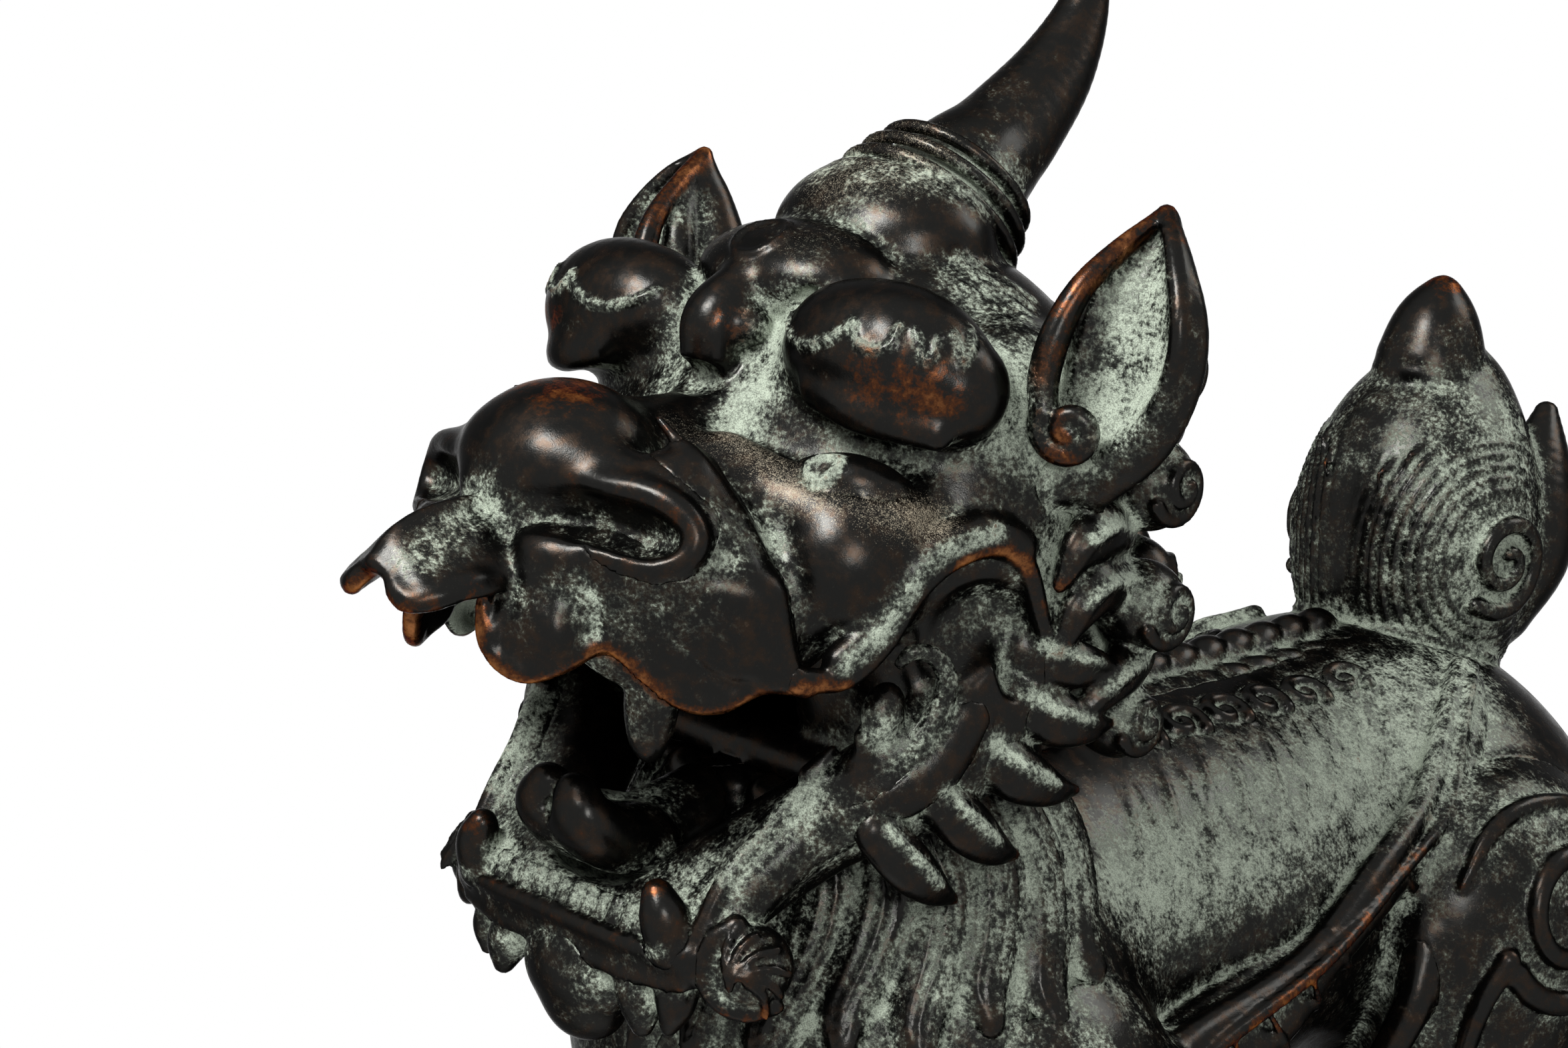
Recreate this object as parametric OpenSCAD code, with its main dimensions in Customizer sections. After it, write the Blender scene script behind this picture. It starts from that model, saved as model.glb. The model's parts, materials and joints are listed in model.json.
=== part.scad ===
// Cast bronze guardian lion made as an incense burner: a hollow four-legged body
// with a head that tips back on a hinge behind the neck. Millimetres, +Z up, nose to -Y,
// origin on the floor under the middle of the animal.

/* [Trunk] */
// Height of the back above the floor
back_h = 116; // [112:1:122]
// Distance from the chest centre to the rump centre
trunk_len = 116; // [108:1:126]
// Depth of the chest from back to brisket
chest_h = 84; // [80:1:88]
// Width of the chest
chest_w = 100; // [94:1:106]
// Depth of the waist
waist_h = 72; // [68:1:76]
// Width of the waist
waist_w = 84; // [78:1:90]
// Depth of the rump
rump_h = 84; // [80:1:88]
// Width of the rump
rump_w = 106; // [100:1:112]
// Thickness of the cast wall of the trunk
trunk_wall = 6; // [5:0.5:7]

/* [Neck and hinge] */
// Bore of the neck, where the incense goes in
neck_bore_d = 42; // [38:1:44]
// Thickness of the neck ring
neck_wall = 7; // [6:0.5:8]
// Height of the neck ring's rim above the back
neck_rise = 3; // [2:0.5:4]
// How far the neck ring reaches down into the trunk
neck_depth = 22; // [18:1:26]
// Gap between the rim and the closed head
seam_gap = 0.3; // [0.2:0.05:0.5]
// Diameter of the hinge pin
pin_d = 3; // [2.5:0.25:4]
// Radial clearance of the pin in the head's knuckle
pin_clear = 0.05; // [0.02:0.01:0.09]
// Outside diameter of the hinge knuckles
knuckle_d = 9; // [8:0.5:10]
// Length of the head's knuckle
knuckle_len = 11; // [9:0.5:13]
// Length of each of the body's two knuckles
side_knuckle_len = 7; // [5:0.5:9]
// End play of the head's knuckle on each side
knuckle_play = 0.3; // [0.2:0.05:0.5]

/* [Head] */
// Height of the middle of the head above the back
head_rise = 38; // [36:1:42]
// Distance from the neck axis forward to the middle of the head
head_forward = 16; // [14:1:18]
// Width of the skull
skull_w = 88; // [84:1:92]
// Height of the skull
skull_h = 82; // [78:1:86]
// Distance from the middle of the head to the tip of the lips
snout_len = 76; // [72:1:80]
// Width of the nose across the nostril wings
nose_w = 60; // [54:1:66]
// Thickness of the cast wall of the head
head_wall = 7; // [6:0.5:8]
// Height of the open mouth at the front
mouth_h = 28; // [24:1:30]
// Width of the lower jaw at its front corners
jaw_w = 54; // [50:1:58]
// Length of the beard below the jaw
beard_len = 17; // [14:1:20]
// Height of the upper fangs and lower canines
fang_h = 12; // [10:0.5:13]

/* [Horn and ears] */
// Length of the horn from its foot
horn_len = 54; // [48:1:60]
// Diameter of the horn's foot
horn_d = 25; // [22:1:28]
// Height of an ear
ear_h = 34; // [30:1:38]
// Width of an ear
ear_w = 24; // [20:1:26]
// Diameter of the tenons that hold the horn, ears and tail
tenon_d = 9; // [8:0.5:10]
// Length of those tenons
tenon_len = 9; // [7:0.5:10]

/* [Mane, wings and tail] */
// Diameter of the curls at the edge of the mane
curl_d = 16; // [14:0.5:18]
// Length of the flame tufts of the mane
tuft_len = 19; // [16:1:22]
// Spread of the hair ruff at its hem, measured from the neck axis
ruff_r = 47; // [46:0.5:48]
// Thickness of the wings on the flanks
wing_t = 6; // [5:0.5:7]
// Height of the tail above the back
tail_h = 62; // [56:1:66]
// Width of the tail across its curls
tail_w = 50; // [44:1:54]
// Height of the curls along the spine
crest_h = 5; // [4:0.5:6]

/* [Legs] */
// Distance between the centres of the left and right paws
stance_w = 80; // [76:1:84]
// Diameter of the legs at the wrist
wrist_d = 31; // [28:1:33]
// Length of a paw
paw_len = 44; // [40:1:48]
// Width of a paw
paw_w = 36; // [32:1:38]
// Height of a paw
paw_h = 20; // [18:1:22]

/* [Hidden] */
fine_fn = 24;
form_fn = 16;
small_fn = 12;
tiny_fn = 8;
bore_fn = 64;
tenon_fn = 32;

// Places along the animal, worked out so that the origin stays under its middle
chest_behind_neck = 3;
tail_behind_rump = 17;
tail_curl_behind = 26;
tail_curl_r = 4;
rear_reach = tail_behind_rump + tail_curl_behind + tail_curl_r * cos(180 / tiny_fn);
front_reach = snout_len + head_forward + chest_behind_neck;
nose_tip_y = -(front_reach + trunk_len + rear_reach) / 2;
chest_y = nose_tip_y + front_reach;
rump_y = chest_y + trunk_len;
waist_y = (chest_y + rump_y) / 2;
neck_y = chest_y - chest_behind_neck;
head_at = [0, neck_y - head_forward, back_h + head_rise];

// Neck ring, seam and hinge
neck_r = neck_bore_d / 2 + neck_wall;
rim_z = back_h + neck_rise;
seam_z = rim_z + seam_gap;
hinge_y = neck_y + neck_r + knuckle_d / 2 + 1;
hinge_z = seam_z + knuckle_d / 2 - 1;
side_knuckle_x = knuckle_len / 2 + knuckle_play;
hinge_half_w = side_knuckle_x + side_knuckle_len;
hinge_room = 1;
leaf_t = 5;
strap_t = 4;
// the strap of the head's leaf ends inside the wall of the head's foot
strap_len = hinge_y - neck_y - neck_bore_d / 2 - 1;

// The head is drawn about its own middle, so these are heights and places in its frame
seam_in_head = seam_z - head_at[2];
neck_in_head = head_forward;
ruff_clear = 1.2;
ruff_top_r = neck_r + 2.5;
ruff_drop = 40;
paw_reach = 18;

bronze = [0.16, 0.14, 0.12];
dark_bronze = [0.11, 0.10, 0.09];
worn_bronze = [0.42, 0.25, 0.12];
green_bronze = [0.35, 0.40, 0.34];

// A ball or ellipsoid: place, radius, stretch along X, Y and Z
module ball(place, r, stretch = [1, 1, 1], fn = form_fn)
    translate(place) scale(stretch) sphere(r, $fn = fn);

// A row of balls joined one to the next; each entry is [place, radius, stretch]
module chain(balls, fn = form_fn)
    for (i = [0 : len(balls) - 2])
        hull() {
            ball(balls[i][0], balls[i][1], balls[i][2], fn);
            ball(balls[i + 1][0], balls[i + 1][1], balls[i + 1][2], fn);
        }

// A point on a flat spiral that starts at angle a0 and tightens from radius r0 to r1
function spiral(t, r0, r1, a0, turns) =
    let (r = r0 + (r1 - r0) * t, a = a0 + 360 * turns * t) [r * cos(a), r * sin(a)];

// Trunk

function trunk_balls(inset) = let (chest_z = back_h - chest_h / 2, rump_z = back_h - rump_h / 2) [
    [[0, chest_y - 6, chest_z - 2], chest_h / 2 - 3 - inset, [chest_w / chest_h, 1, 1]],
    [[0, chest_y, chest_z], chest_h / 2 - inset, [chest_w / chest_h, 1, 1]],
    [[0, waist_y - trunk_len / 6, back_h - 1 - waist_h / 2], waist_h / 2 - inset,
     [waist_w / waist_h, 1, 1]],
    [[0, waist_y + trunk_len / 6, back_h - 1 - waist_h / 2], waist_h / 2 - inset,
     [waist_w / waist_h, 1, 1]],
    [[0, rump_y, rump_z], rump_h / 2 - inset, [rump_w / rump_h, 1, 1]],
    [[0, rump_y + 6, rump_z - 4], rump_h / 2 - 6 - inset, [rump_w / rump_h, 1, 1]]
];

module trunk_form(inset = 0, fn = fine_fn) chain(trunk_balls(inset), fn);

// The cut for the neck ring is drawn round a circle, so that the ring fits inside its flats
module neck_seat() translate([0, neck_y, rim_z - neck_depth])
    cylinder(r = neck_r / cos(180 / bore_fn), h = neck_depth + neck_rise + 10, $fn = bore_fn);

tail_at = [0, rump_y + tail_behind_rump, back_h - 12];
module tail_seat() translate(tail_at) rotate([-12, 0, 0]) translate([0, 0, -tenon_len])
    cylinder(d = tenon_d, h = 2 * tenon_len, $fn = small_fn);

module torso_shell() color(bronze) difference() {
    trunk_form();
    trunk_form(trunk_wall, form_fn);
    neck_seat();
    tail_seat();
    hinge_leaf_block(0);
    // room for the head's knuckle as it turns
    translate([0, hinge_y, hinge_z]) rotate([0, 90, 0])
        cylinder(d = knuckle_d + 2 * hinge_room, h = 2 * hinge_half_w, center = true, $fn = tenon_fn);
}

// Neck ring, a turned ring that carries the rim and the hinge

module neck_ring() color(dark_bronze) translate([0, neck_y, rim_z - neck_depth]) difference() {
    cylinder(r = neck_r, h = neck_depth, $fn = bore_fn);
    translate([0, 0, -1]) cylinder(d = neck_bore_d, h = neck_depth + 2, $fn = bore_fn);
}

// Long hair that falls from the neck over the chest

lock_count = 15;
function ruff_radius(z) = ruff_top_r + (ruff_r - ruff_top_r) * (rim_z - z) / ruff_drop;

ruff_wide = 1.12;
module ruff_form(grow = 0) translate([0, neck_y, 0]) scale([ruff_wide, 1, 1]) {
    // the hair hangs round the front and the sides and leaves the spine free
    for (i = [0 : lock_count - 1]) {
        across = 2 * i / (lock_count - 1) - 1;
        a = 270 + 108 * across;
        drop = ruff_drop - 12 * abs(across) - 3 * (i % 2);
        mid_z = rim_z - drop * 0.5;
        mid_r = ruff_radius(mid_z) - 7;
        hull() {
            ball([(ruff_top_r - 4) * cos(a), (ruff_top_r - 4) * sin(a), rim_z - 6], 4 + grow, fn = tiny_fn);
            ball([mid_r * cos(a), mid_r * sin(a), mid_z], 7 + grow, fn = tiny_fn);
        }
        hull() {
            ball([mid_r * cos(a), mid_r * sin(a), mid_z], 7 + grow, fn = tiny_fn);
            ball([(ruff_radius(rim_z - drop) - 5) * cos(a), (ruff_radius(rim_z - drop) - 5) * sin(a),
                  rim_z - drop], 5 + grow, fn = tiny_fn);
        }
    }
}

module hair_ruff() color(green_bronze) difference() {
    ruff_form();
    trunk_form();
    neck_seat();
}

// Curls along the spine

crest_count = 7;
crest_from = hinge_y + 26;
crest_to = tail_at[1] - tail_w * 0.45 - crest_h - 11;
module spine_crest() color(dark_bronze) difference() {
    for (i = [0 : crest_count - 1]) {
        y = crest_from + i * (crest_to - crest_from) / (crest_count - 1);
        hull() {
            ball([0, y - 4, back_h - 2], crest_h + 1, [1.2, 1, 1], tiny_fn);
            ball([0, y + 5, back_h - 3], crest_h - 1, [1.5, 1, 1], tiny_fn);
        }
    }
    trunk_form();
}

// Wings laid along the flanks, from the shoulder up to the rump

function wing_rim() = [
    [[chest_w / 2 - 1, chest_y + 4, back_h - 48], wing_t + 3, [1, 1, 1]],
    [[chest_w / 2 - 1, chest_y + 22, back_h - 38], wing_t + 1, [1, 1, 1]],
    [[waist_w / 2 + 1, waist_y, back_h - 32], wing_t - 1, [1, 1, 1]],
    [[rump_w / 2 - 17, rump_y - 18, back_h - 17], wing_t - 2, [1, 1, 1]],
    [[rump_w / 2 - 28, rump_y + 2, back_h - 5], wing_t - 3, [1, 1, 1]]
];
function wing_hem() = [
    [[chest_w / 2 - 2, chest_y + 12, back_h - 61], wing_t + 2, [1, 1, 1]],
    [[waist_w / 2 + 3, waist_y - 18, back_h - 52], wing_t - 1, [1, 1, 1]],
    [[waist_w / 2 + 2, waist_y + 8, back_h - 41], wing_t - 2, [1, 1, 1]],
    [[rump_w / 2 - 14, rump_y - 22, back_h - 25], wing_t - 3, [1, 1, 1]],
    [[rump_w / 2 - 26, rump_y + 1, back_h - 9], wing_t - 3, [1, 1, 1]]
];

module wing_form() {
    rim = wing_rim();
    hem = wing_hem();
    for (i = [0 : len(rim) - 2])
        hull() {
            ball(rim[i][0], rim[i][1], fn = tiny_fn);
            ball(rim[i + 1][0], rim[i + 1][1], fn = tiny_fn);
            ball(hem[i][0], hem[i][1], fn = tiny_fn);
            ball(hem[i + 1][0], hem[i + 1][1], fn = tiny_fn);
        }
}

module wing(side) color(dark_bronze) difference() {
    scale([side, 1, 1]) wing_form();
    trunk_form();
    scale([side, 1, 1]) front_leg_form();
    scale([side, 1, 1]) rear_leg_form();
    ruff_form(0.3);
}

// Legs

front_paw_y = chest_y - 4;
rear_paw_y = rump_y + 8;
leg_x = stance_w / 2;
wrist_r = wrist_d / 2;

module paw(y) {
    sole = paw_len - 16;
    hull() {
        ball([leg_x, y + 8, paw_h * 0.36], paw_h / 2, [1.1, 1, 1], small_fn);
        ball([leg_x, y - sole / 2, paw_h * 0.36], paw_h / 2, [1.2, 1, 1], small_fn);
    }
    for (i = [-1.5 : 1 : 1.5])
        hull() {
            ball([leg_x + i * paw_w / 4 * 0.86, y - sole / 2 + 2, paw_h * 0.42], paw_w / 6.5, fn = tiny_fn);
            ball([leg_x + i * paw_w / 4, y - sole + 1 + abs(i) * 2, paw_h * 0.17], paw_w / 7.5, fn = tiny_fn);
        }
}

module above_floor(high) translate([-200, -200, 0]) cube([400, 400, high]);

module front_leg_form() intersection() {
    union() {
        chain([
            [[leg_x - 4, chest_y - 2, back_h - 50], 25, [0.9, 1, 1.1]],
            [[leg_x, chest_y + 3, back_h - 70], 20, [0.9, 1, 1]],
            [[leg_x, front_paw_y + 2, paw_h + 6], wrist_r, [1, 1, 1]],
            [[leg_x, front_paw_y, paw_h - 4], wrist_r + 1, [1, 1, 0.9]]
        ], small_fn);
        paw(front_paw_y);
    }
    above_floor(back_h);
}

haunch_at = [leg_x - 2, rump_y - 6, back_h - 48];
haunch_r = 30;
haunch_stretch = [0.76, 1, 1.1];
scroll_r = 17;
scroll_steps = 11;

// A point of the haunch's outer face, from its place along Y and Z
function on_haunch(y, z) =
    let (far = pow(y / (haunch_r * haunch_stretch[1]), 2) + pow(z / (haunch_r * haunch_stretch[2]), 2))
    haunch_at + [haunch_r * haunch_stretch[0] * sqrt(max(0.05, 1 - far)) - 1, y, z];

module haunch_scroll() chain([for (i = [0 : scroll_steps])
    let (p = spiral(i / scroll_steps, scroll_r, 3, -110, 1.5))
    [on_haunch(p[0] - 4, p[1] + 8), 3 - 1.2 * i / scroll_steps, [1, 1, 1]]], 6);

module rear_leg_form() intersection() {
    union() {
        haunch_scroll();
        chain([
            [haunch_at, haunch_r, haunch_stretch],
            [[leg_x + 1, rump_y - 12, back_h - 70], 22, [0.85, 1, 1]],
            [[leg_x, rear_paw_y + 9, paw_h + 9], wrist_r - 1, [1, 1, 1]],
            [[leg_x, rear_paw_y + 4, paw_h - 4], wrist_r + 1, [1, 1, 0.9]]
        ], small_fn);
        paw(rear_paw_y);
    }
    above_floor(back_h);
}

module front_leg(side) color(bronze) difference() {
    scale([side, 1, 1]) front_leg_form();
    trunk_form();
    ruff_form();
}

module rear_leg(side) color(bronze) difference() {
    scale([side, 1, 1]) rear_leg_form();
    trunk_form();
}

// Tail: a flame-shaped bulb with a curl on each side, held by a tenon

module tail() color(bronze) difference() {
    bulb_z = back_h + tail_h * 0.27;
    union() {
        chain([
            [[0, tail_at[1] - 3, back_h - 8], 13, [1.1, 1, 1]],
            [[0, tail_at[1] + 1, bulb_z - 4], tail_w * 0.45, [0.92, 1, 1]],
            [[0, tail_at[1] + 2, bulb_z + 6], tail_w * 0.42, [0.9, 1, 1]],
            [[0, tail_at[1] + 5, back_h + tail_h * 0.6], tail_w * 0.24, [1, 1, 1]],
            [[0, tail_at[1] + 6, back_h + tail_h - 4], 4, [1, 1, 1]]
        ], small_fn);
        for (side = [-1, 1])
            chain([
                [[side * tail_w * 0.24, tail_at[1] + 8, bulb_z - 6], tail_w * 0.25, [1, 1, 1]],
                [[side * tail_w * 0.26, tail_at[1] + 16, bulb_z + 8], tail_w * 0.17, [1, 1, 1]],
                [[side * tail_w * 0.2, tail_at[1] + tail_curl_behind, bulb_z + 20], tail_curl_r, [1, 1, 1]]
            ], tiny_fn);
        tail_seat();
    }
    difference() {
        trunk_form();
        tail_seat();
    }
}

// Hinge behind the neck

module hinge_leaf_block(inset)
    translate([-hinge_half_w, neck_y, rim_z - leaf_t - 6])
        cube([2 * hinge_half_w, hinge_y - neck_y, leaf_t + 6 - inset]);

module knuckle(x0, length, bore) translate([x0, hinge_y, hinge_z]) rotate([0, 90, 0]) difference() {
    cylinder(d = knuckle_d, h = length, $fn = bore_fn);
    translate([0, 0, -1]) cylinder(d = bore, h = length + 2, $fn = bore_fn);
}

module hinge_leaf_body() color(dark_bronze) difference() {
    union() {
        hinge_leaf_block(0);
        for (x0 = [-hinge_half_w, side_knuckle_x]) {
            knuckle(x0, side_knuckle_len, pin_d);
            translate([x0, hinge_y - knuckle_d / 2 - 1, rim_z - 1])
                cube([side_knuckle_len, knuckle_d / 2, 1 + hinge_z - rim_z]);
        }
    }
    translate([0, neck_y, 0]) cylinder(r = neck_r, h = 2 * back_h, $fn = bore_fn);
    // the head's knuckle turns in the gap between the two
    translate([-side_knuckle_x, hinge_y, hinge_z]) rotate([0, 90, 0])
        cylinder(d = knuckle_d + 2 * hinge_room, h = 2 * side_knuckle_x, $fn = bore_fn);
    translate([-hinge_half_w - 1, hinge_y, hinge_z]) rotate([0, 90, 0])
        cylinder(d = pin_d, h = 2 * hinge_half_w + 2, $fn = bore_fn);
}

module hinge_pin() color(worn_bronze) translate([-hinge_half_w - 1, hinge_y, hinge_z]) rotate([0, 90, 0])
    cylinder(d = pin_d, h = 2 * hinge_half_w + 2, $fn = bore_fn);

module hinge_leaf_head() color(dark_bronze) difference() {
    union() {
        knuckle(-knuckle_len / 2, knuckle_len, pin_d + 2 * pin_clear);
        translate([-knuckle_len / 2, hinge_y - strap_len, hinge_z]) cube([knuckle_len, strap_len, strap_t]);
    }
    translate([-knuckle_len, hinge_y, hinge_z]) rotate([0, 90, 0])
        cylinder(d = pin_d + 2 * pin_clear, h = 2 * knuckle_len, $fn = bore_fn);
}

// Head, drawn about its own middle

module in_head() translate(head_at) children();

skull_mid = [0, 16, 5];
skull_stretch = [skull_w / skull_h, 0.9, 1];
face_at = [0, -10, 0];
nose_at = [0, -snout_len + 32, 11];
cheek_x = skull_w / 2 - 10;
jaw_y = -snout_len + 40;
jaw_z = -21 - mouth_h;
base_r = neck_r + 3;

module skull_form() {
    skull = skull_h / 2;
    hull() {
        ball(skull_mid, skull, skull_stretch, fine_fn);
        ball(face_at, 24, [1.3, 1, 0.9]);
    }
    // the bridge runs down between the brows to the nose, and the muzzle spreads below it
    hull() {
        ball(face_at, 24, [1.3, 1, 0.9]);
        ball(nose_at - [0, 0, 5], 9, [nose_w / 18, 1, 1], small_fn);
        ball(nose_at + [0, 4, 0], 11, [1.2, 1, 1], small_fn);
    }
    hull() {
        ball(nose_at - [0, 0, 5], 9, [nose_w / 18, 1, 1], small_fn);
        ball([0, -snout_len + 16, 1], 8, [1.5, 1, 0.8], small_fn);
    }
    ball(nose_at + [0, 2.5, 4], 13.5, [1.15, 1, 0.9], small_fn);
    // boss on the forehead, the crown behind it and the knob between the brows
    ball([0, 2, 37], 12, [1.45, 1, 0.7], small_fn);
    ball([0, 20, 41], 15, [1.25, 1, 0.85], small_fn);
    hull() {
        ball([0, -8, 35], 5, fn = tiny_fn);
        ball([0, -13.5, 29], 5.5, fn = tiny_fn);
    }
    for (side = [-1, 1]) {
        // brow, eye, cheek and the corner of the mouth
        hull() {
            ball([side * 17, -5, 29], 8, fn = small_fn);
            ball([side * 33, -6, 29], 11, fn = small_fn);
            ball([side * 40, -4, 26], 8, fn = tiny_fn);
        }
        ball([side * 33, -12.5, 16], 6.6, [1.4, 1, 0.8], tiny_fn);
        hull() {
            ball([side * 30, 2, 0], 16, fn = small_fn);
            ball([side * (cheek_x - 3), -15, 2], 12, fn = small_fn);
        }
        hull() {
            ball([side * (cheek_x - 3), -1, -8], 10, fn = small_fn);
            ball([side * (cheek_x + 3), 8, -24], 9, fn = small_fn);
        }
    }
    // the foot of the head, which sits on the neck ring
    translate([0, neck_in_head, seam_in_head]) cylinder(r = base_r, h = 30, $fn = bore_fn);
}

module mouth_form() {
    hull() {
        ball([0, 4, -18], mouth_h * 0.42, [2.1, 1, 1]);
        ball([0, -snout_len - 4, -26], mouth_h * 0.55, [1.75, 1, 1]);
    }
}

module smoke_room() {
    room = (skull_h - 2 * head_wall) / sqrt(3);
    foot_hole = neck_bore_d / sqrt(2);
    translate(skull_mid) scale(skull_stretch) cube(room, center = true);
    translate([-foot_hole / 2, neck_in_head - foot_hole / 2, seam_in_head - 5])
        cube([foot_hole, foot_hole, 30]);
}

// Everything of the head stays outside this room for the neck, its hair and the hinge
module neck_room() translate([0, neck_in_head, seam_in_head - ruff_drop]) scale([ruff_wide, 1, 1]) {
    cylinder(r1 = ruff_r + ruff_clear, r2 = ruff_top_r + ruff_clear, h = ruff_drop, $fn = tenon_fn);
    translate([0, 0, -30]) cylinder(r = ruff_r + ruff_clear, h = 30, $fn = tenon_fn);
}

module hinge_room_form() translate([0, hinge_y, hinge_z] - head_at) {
    rotate([0, 90, 0])
        cylinder(d = knuckle_d + 2 * hinge_room, h = 2 * hinge_half_w + 5, center = true, $fn = tenon_fn);
    // the strap of the head's leaf lies in a bed of its own size
    translate([-knuckle_len / 2, -strap_len, 0]) cube([knuckle_len, strap_len, strap_t]);
    // the body's knuckles stand in a notch at the back of the head's foot
    translate([-hinge_half_w - hinge_room, -knuckle_d / 2 - 1 - hinge_room, -60])
        cube([2 * (hinge_half_w + hinge_room), knuckle_d / 2 + 1 + hinge_room, 60]);
    // nothing of the head hangs down behind the hinge
    translate([-60, -2, -60]) cube([120, 60, 60]);
}

horn_foot = [0, 28, 43];
horn_lean = 40;
module horn_seat() translate(horn_foot) rotate([-horn_lean, 0, 0]) translate([0, 0, -tenon_len])
    cylinder(d = tenon_d, h = 2 * tenon_len, $fn = small_fn);

ear_foot = [skull_w / 2 - 4, 20, 18];
module ear_seat(side) translate([side * (ear_foot[0] - tenon_len), ear_foot[1], ear_foot[2]])
    rotate([0, side * 90, 0]) cylinder(d = tenon_d, h = tenon_len + 3, $fn = small_fn);

module head_solid() difference() {
    skull_form();
    neck_room();
    hinge_room_form();
}

module head_shell() color(bronze) in_head() difference() {
    skull_form();
    smoke_room();
    mouth_form();
    neck_room();
    hinge_room_form();
    horn_seat();
    ear_seat(-1);
    ear_seat(1);
}

// Lower jaw, a scoop that closes the mouth below and joins the cheeks

module jaw_form() {
    corner_x = jaw_w / 2 - 4;
    hull() {
        for (side = [-1, 1]) {
            ball([side * (corner_x - 3), jaw_y, jaw_z], 7, fn = small_fn);
            ball([side * 22, -13, -41], 7, fn = small_fn);
        }
        ball([0, jaw_y - 4, jaw_z], 7, fn = small_fn);
    }
    // the raised sides run up to the cheeks
    for (side = [-1, 1])
        chain([
            [[side * corner_x, jaw_y - 1, jaw_z - 1], 6, [1, 1, 1]],
            [[side * (cheek_x - 3), -30, jaw_z + 8], 6, [1, 1, 1]],
            [[side * (cheek_x + 3), -18, -33], 6, [1, 1, 1]],
            [[side * (cheek_x + 6), -4, -25], 6, [1, 1, 1]]
        ], tiny_fn);
    // the throat closes the gap to the foot of the head
    hull()
        for (side = [-1, 1]) {
            ball([side * 18, -4, -31], 6, fn = small_fn);
            ball([side * 16, -22, -43], 6, fn = small_fn);
        }
}

module jaw_solid() difference() {
    jaw_form();
    mouth_form();
    jaw_scoop();
}

// The hollow behind the lower teeth
module jaw_scoop() ball([0, jaw_y + 12, jaw_z + 11], 9, [1.9, 1.5, 1], small_fn);

module lower_jaw() color(bronze) in_head() difference() {
    jaw_solid();
    skull_form();
    neck_room();
}

// Ruffled upper lip

module frill_form() {
    tip_y = -snout_len + 6 * cos(180 / tiny_fn);
    for (side = [-1, 1])
        chain([
            [[side * 43, 2, 2], 3.5, [1, 1, 1]],
            [[side * 40, -13, -2], 3.5, [1, 1, 1]],
            [[side * 35, -27, -9], 4.5, [1, 1, 1]],
            [[side * 29, -37, -9.5], 5, [1, 1, 1]],
            [[side * 21, -46, -2.5], 4.5, [1, 1, 1]],
            [[side * 13.5, -54, -4.5], 5, [1, 1, 1]],
            [[side * 8, tip_y + 10, 3], 5.5, [1, 1, 1]],
            [[0, tip_y, 4], 6, [1, 1, 1]]
        ], tiny_fn);
}

module lip_frill() color(worn_bronze) in_head() difference() {
    frill_form();
    head_solid();
    ball([0, -30, -24], 14, [1.6, 3, 1]);
}

// Tongue, lying on the jaw with its tip curled up

module tongue_form() chain([
    [[0, -19, -40], 6, [1.9, 1, 0.8]],
    [[0, -22, jaw_z + 9], 6, [1.8, 1, 0.8]],
    [[0, -30, jaw_z + 9], 5.5, [1.8, 1, 0.9]],
    [[0, jaw_y - 1, jaw_z + 12], 5, [1.9, 1, 1]],
    [[0, jaw_y - 4, jaw_z + 18], 4.5, [2.1, 1, 1]]
], small_fn);

module tongue() color(bronze) in_head() difference() {
    tongue_form();
    jaw_solid();
    skull_form();
    neck_room();
}

// Teeth

fang_x = 20;
module fang_forms(side) hull() {
    ball([side * fang_x, jaw_y - 6, -9], 3.6, fn = tiny_fn);
    ball([side * fang_x, jaw_y - 5, -13 - fang_h], 1, fn = tiny_fn);
}

module upper_fangs() color(worn_bronze) in_head() difference() {
    for (side = [-1, 1])
        fang_forms(side);
    head_solid_with_mouth();
    frill_form();
}

module head_solid_with_mouth() difference() {
    head_solid();
    mouth_form();
}

module tooth_forms() {
    for (side = [-1, 1])
        hull() {
            ball([side * (jaw_w / 2 - 6), jaw_y - 2, jaw_z + 3], 3.4, fn = tiny_fn);
            ball([side * (jaw_w / 2 - 5), jaw_y - 4, jaw_z + fang_h - 1], 1, fn = tiny_fn);
        }
    for (i = [-2.5 : 1 : 2.5])
        hull() {
            ball([i * 5.2, jaw_y - 5, jaw_z + 4], 2.2, fn = tiny_fn);
            ball([i * 5.2, jaw_y - 6, jaw_z + 9], 1.6, fn = tiny_fn);
        }
}

module lower_teeth() color(worn_bronze) in_head() difference() {
    tooth_forms();
    jaw_solid();
    tongue_form();
}

// Beard: a middle tuft and a curl at each corner of the jaw

module beard() color(green_bronze) in_head() difference() {
    union() {
        chain([
            [[0, jaw_y - 3, jaw_z - 5], 9, [1.4, 1, 1]],
            [[0, jaw_y - 4, jaw_z - beard_len * 0.6], 7, [1.4, 1, 1]],
            [[0, jaw_y, jaw_z - beard_len - 2], 3, [1.4, 1, 1]]
        ], small_fn);
        for (side = [-1, 1])
            chain([
                [[side * 13, jaw_y - 2, jaw_z - 6], 6, [1, 1, 1]],
                [[side * 24, jaw_y + 4, jaw_z - 7], 6.5, [1, 1, 1]],
                [[side * 30, jaw_y + 4, jaw_z - 4], 6, [1, 1, 1]]
            ], tiny_fn);
    }
    jaw_form();
    neck_room();
}

// Ears

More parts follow.
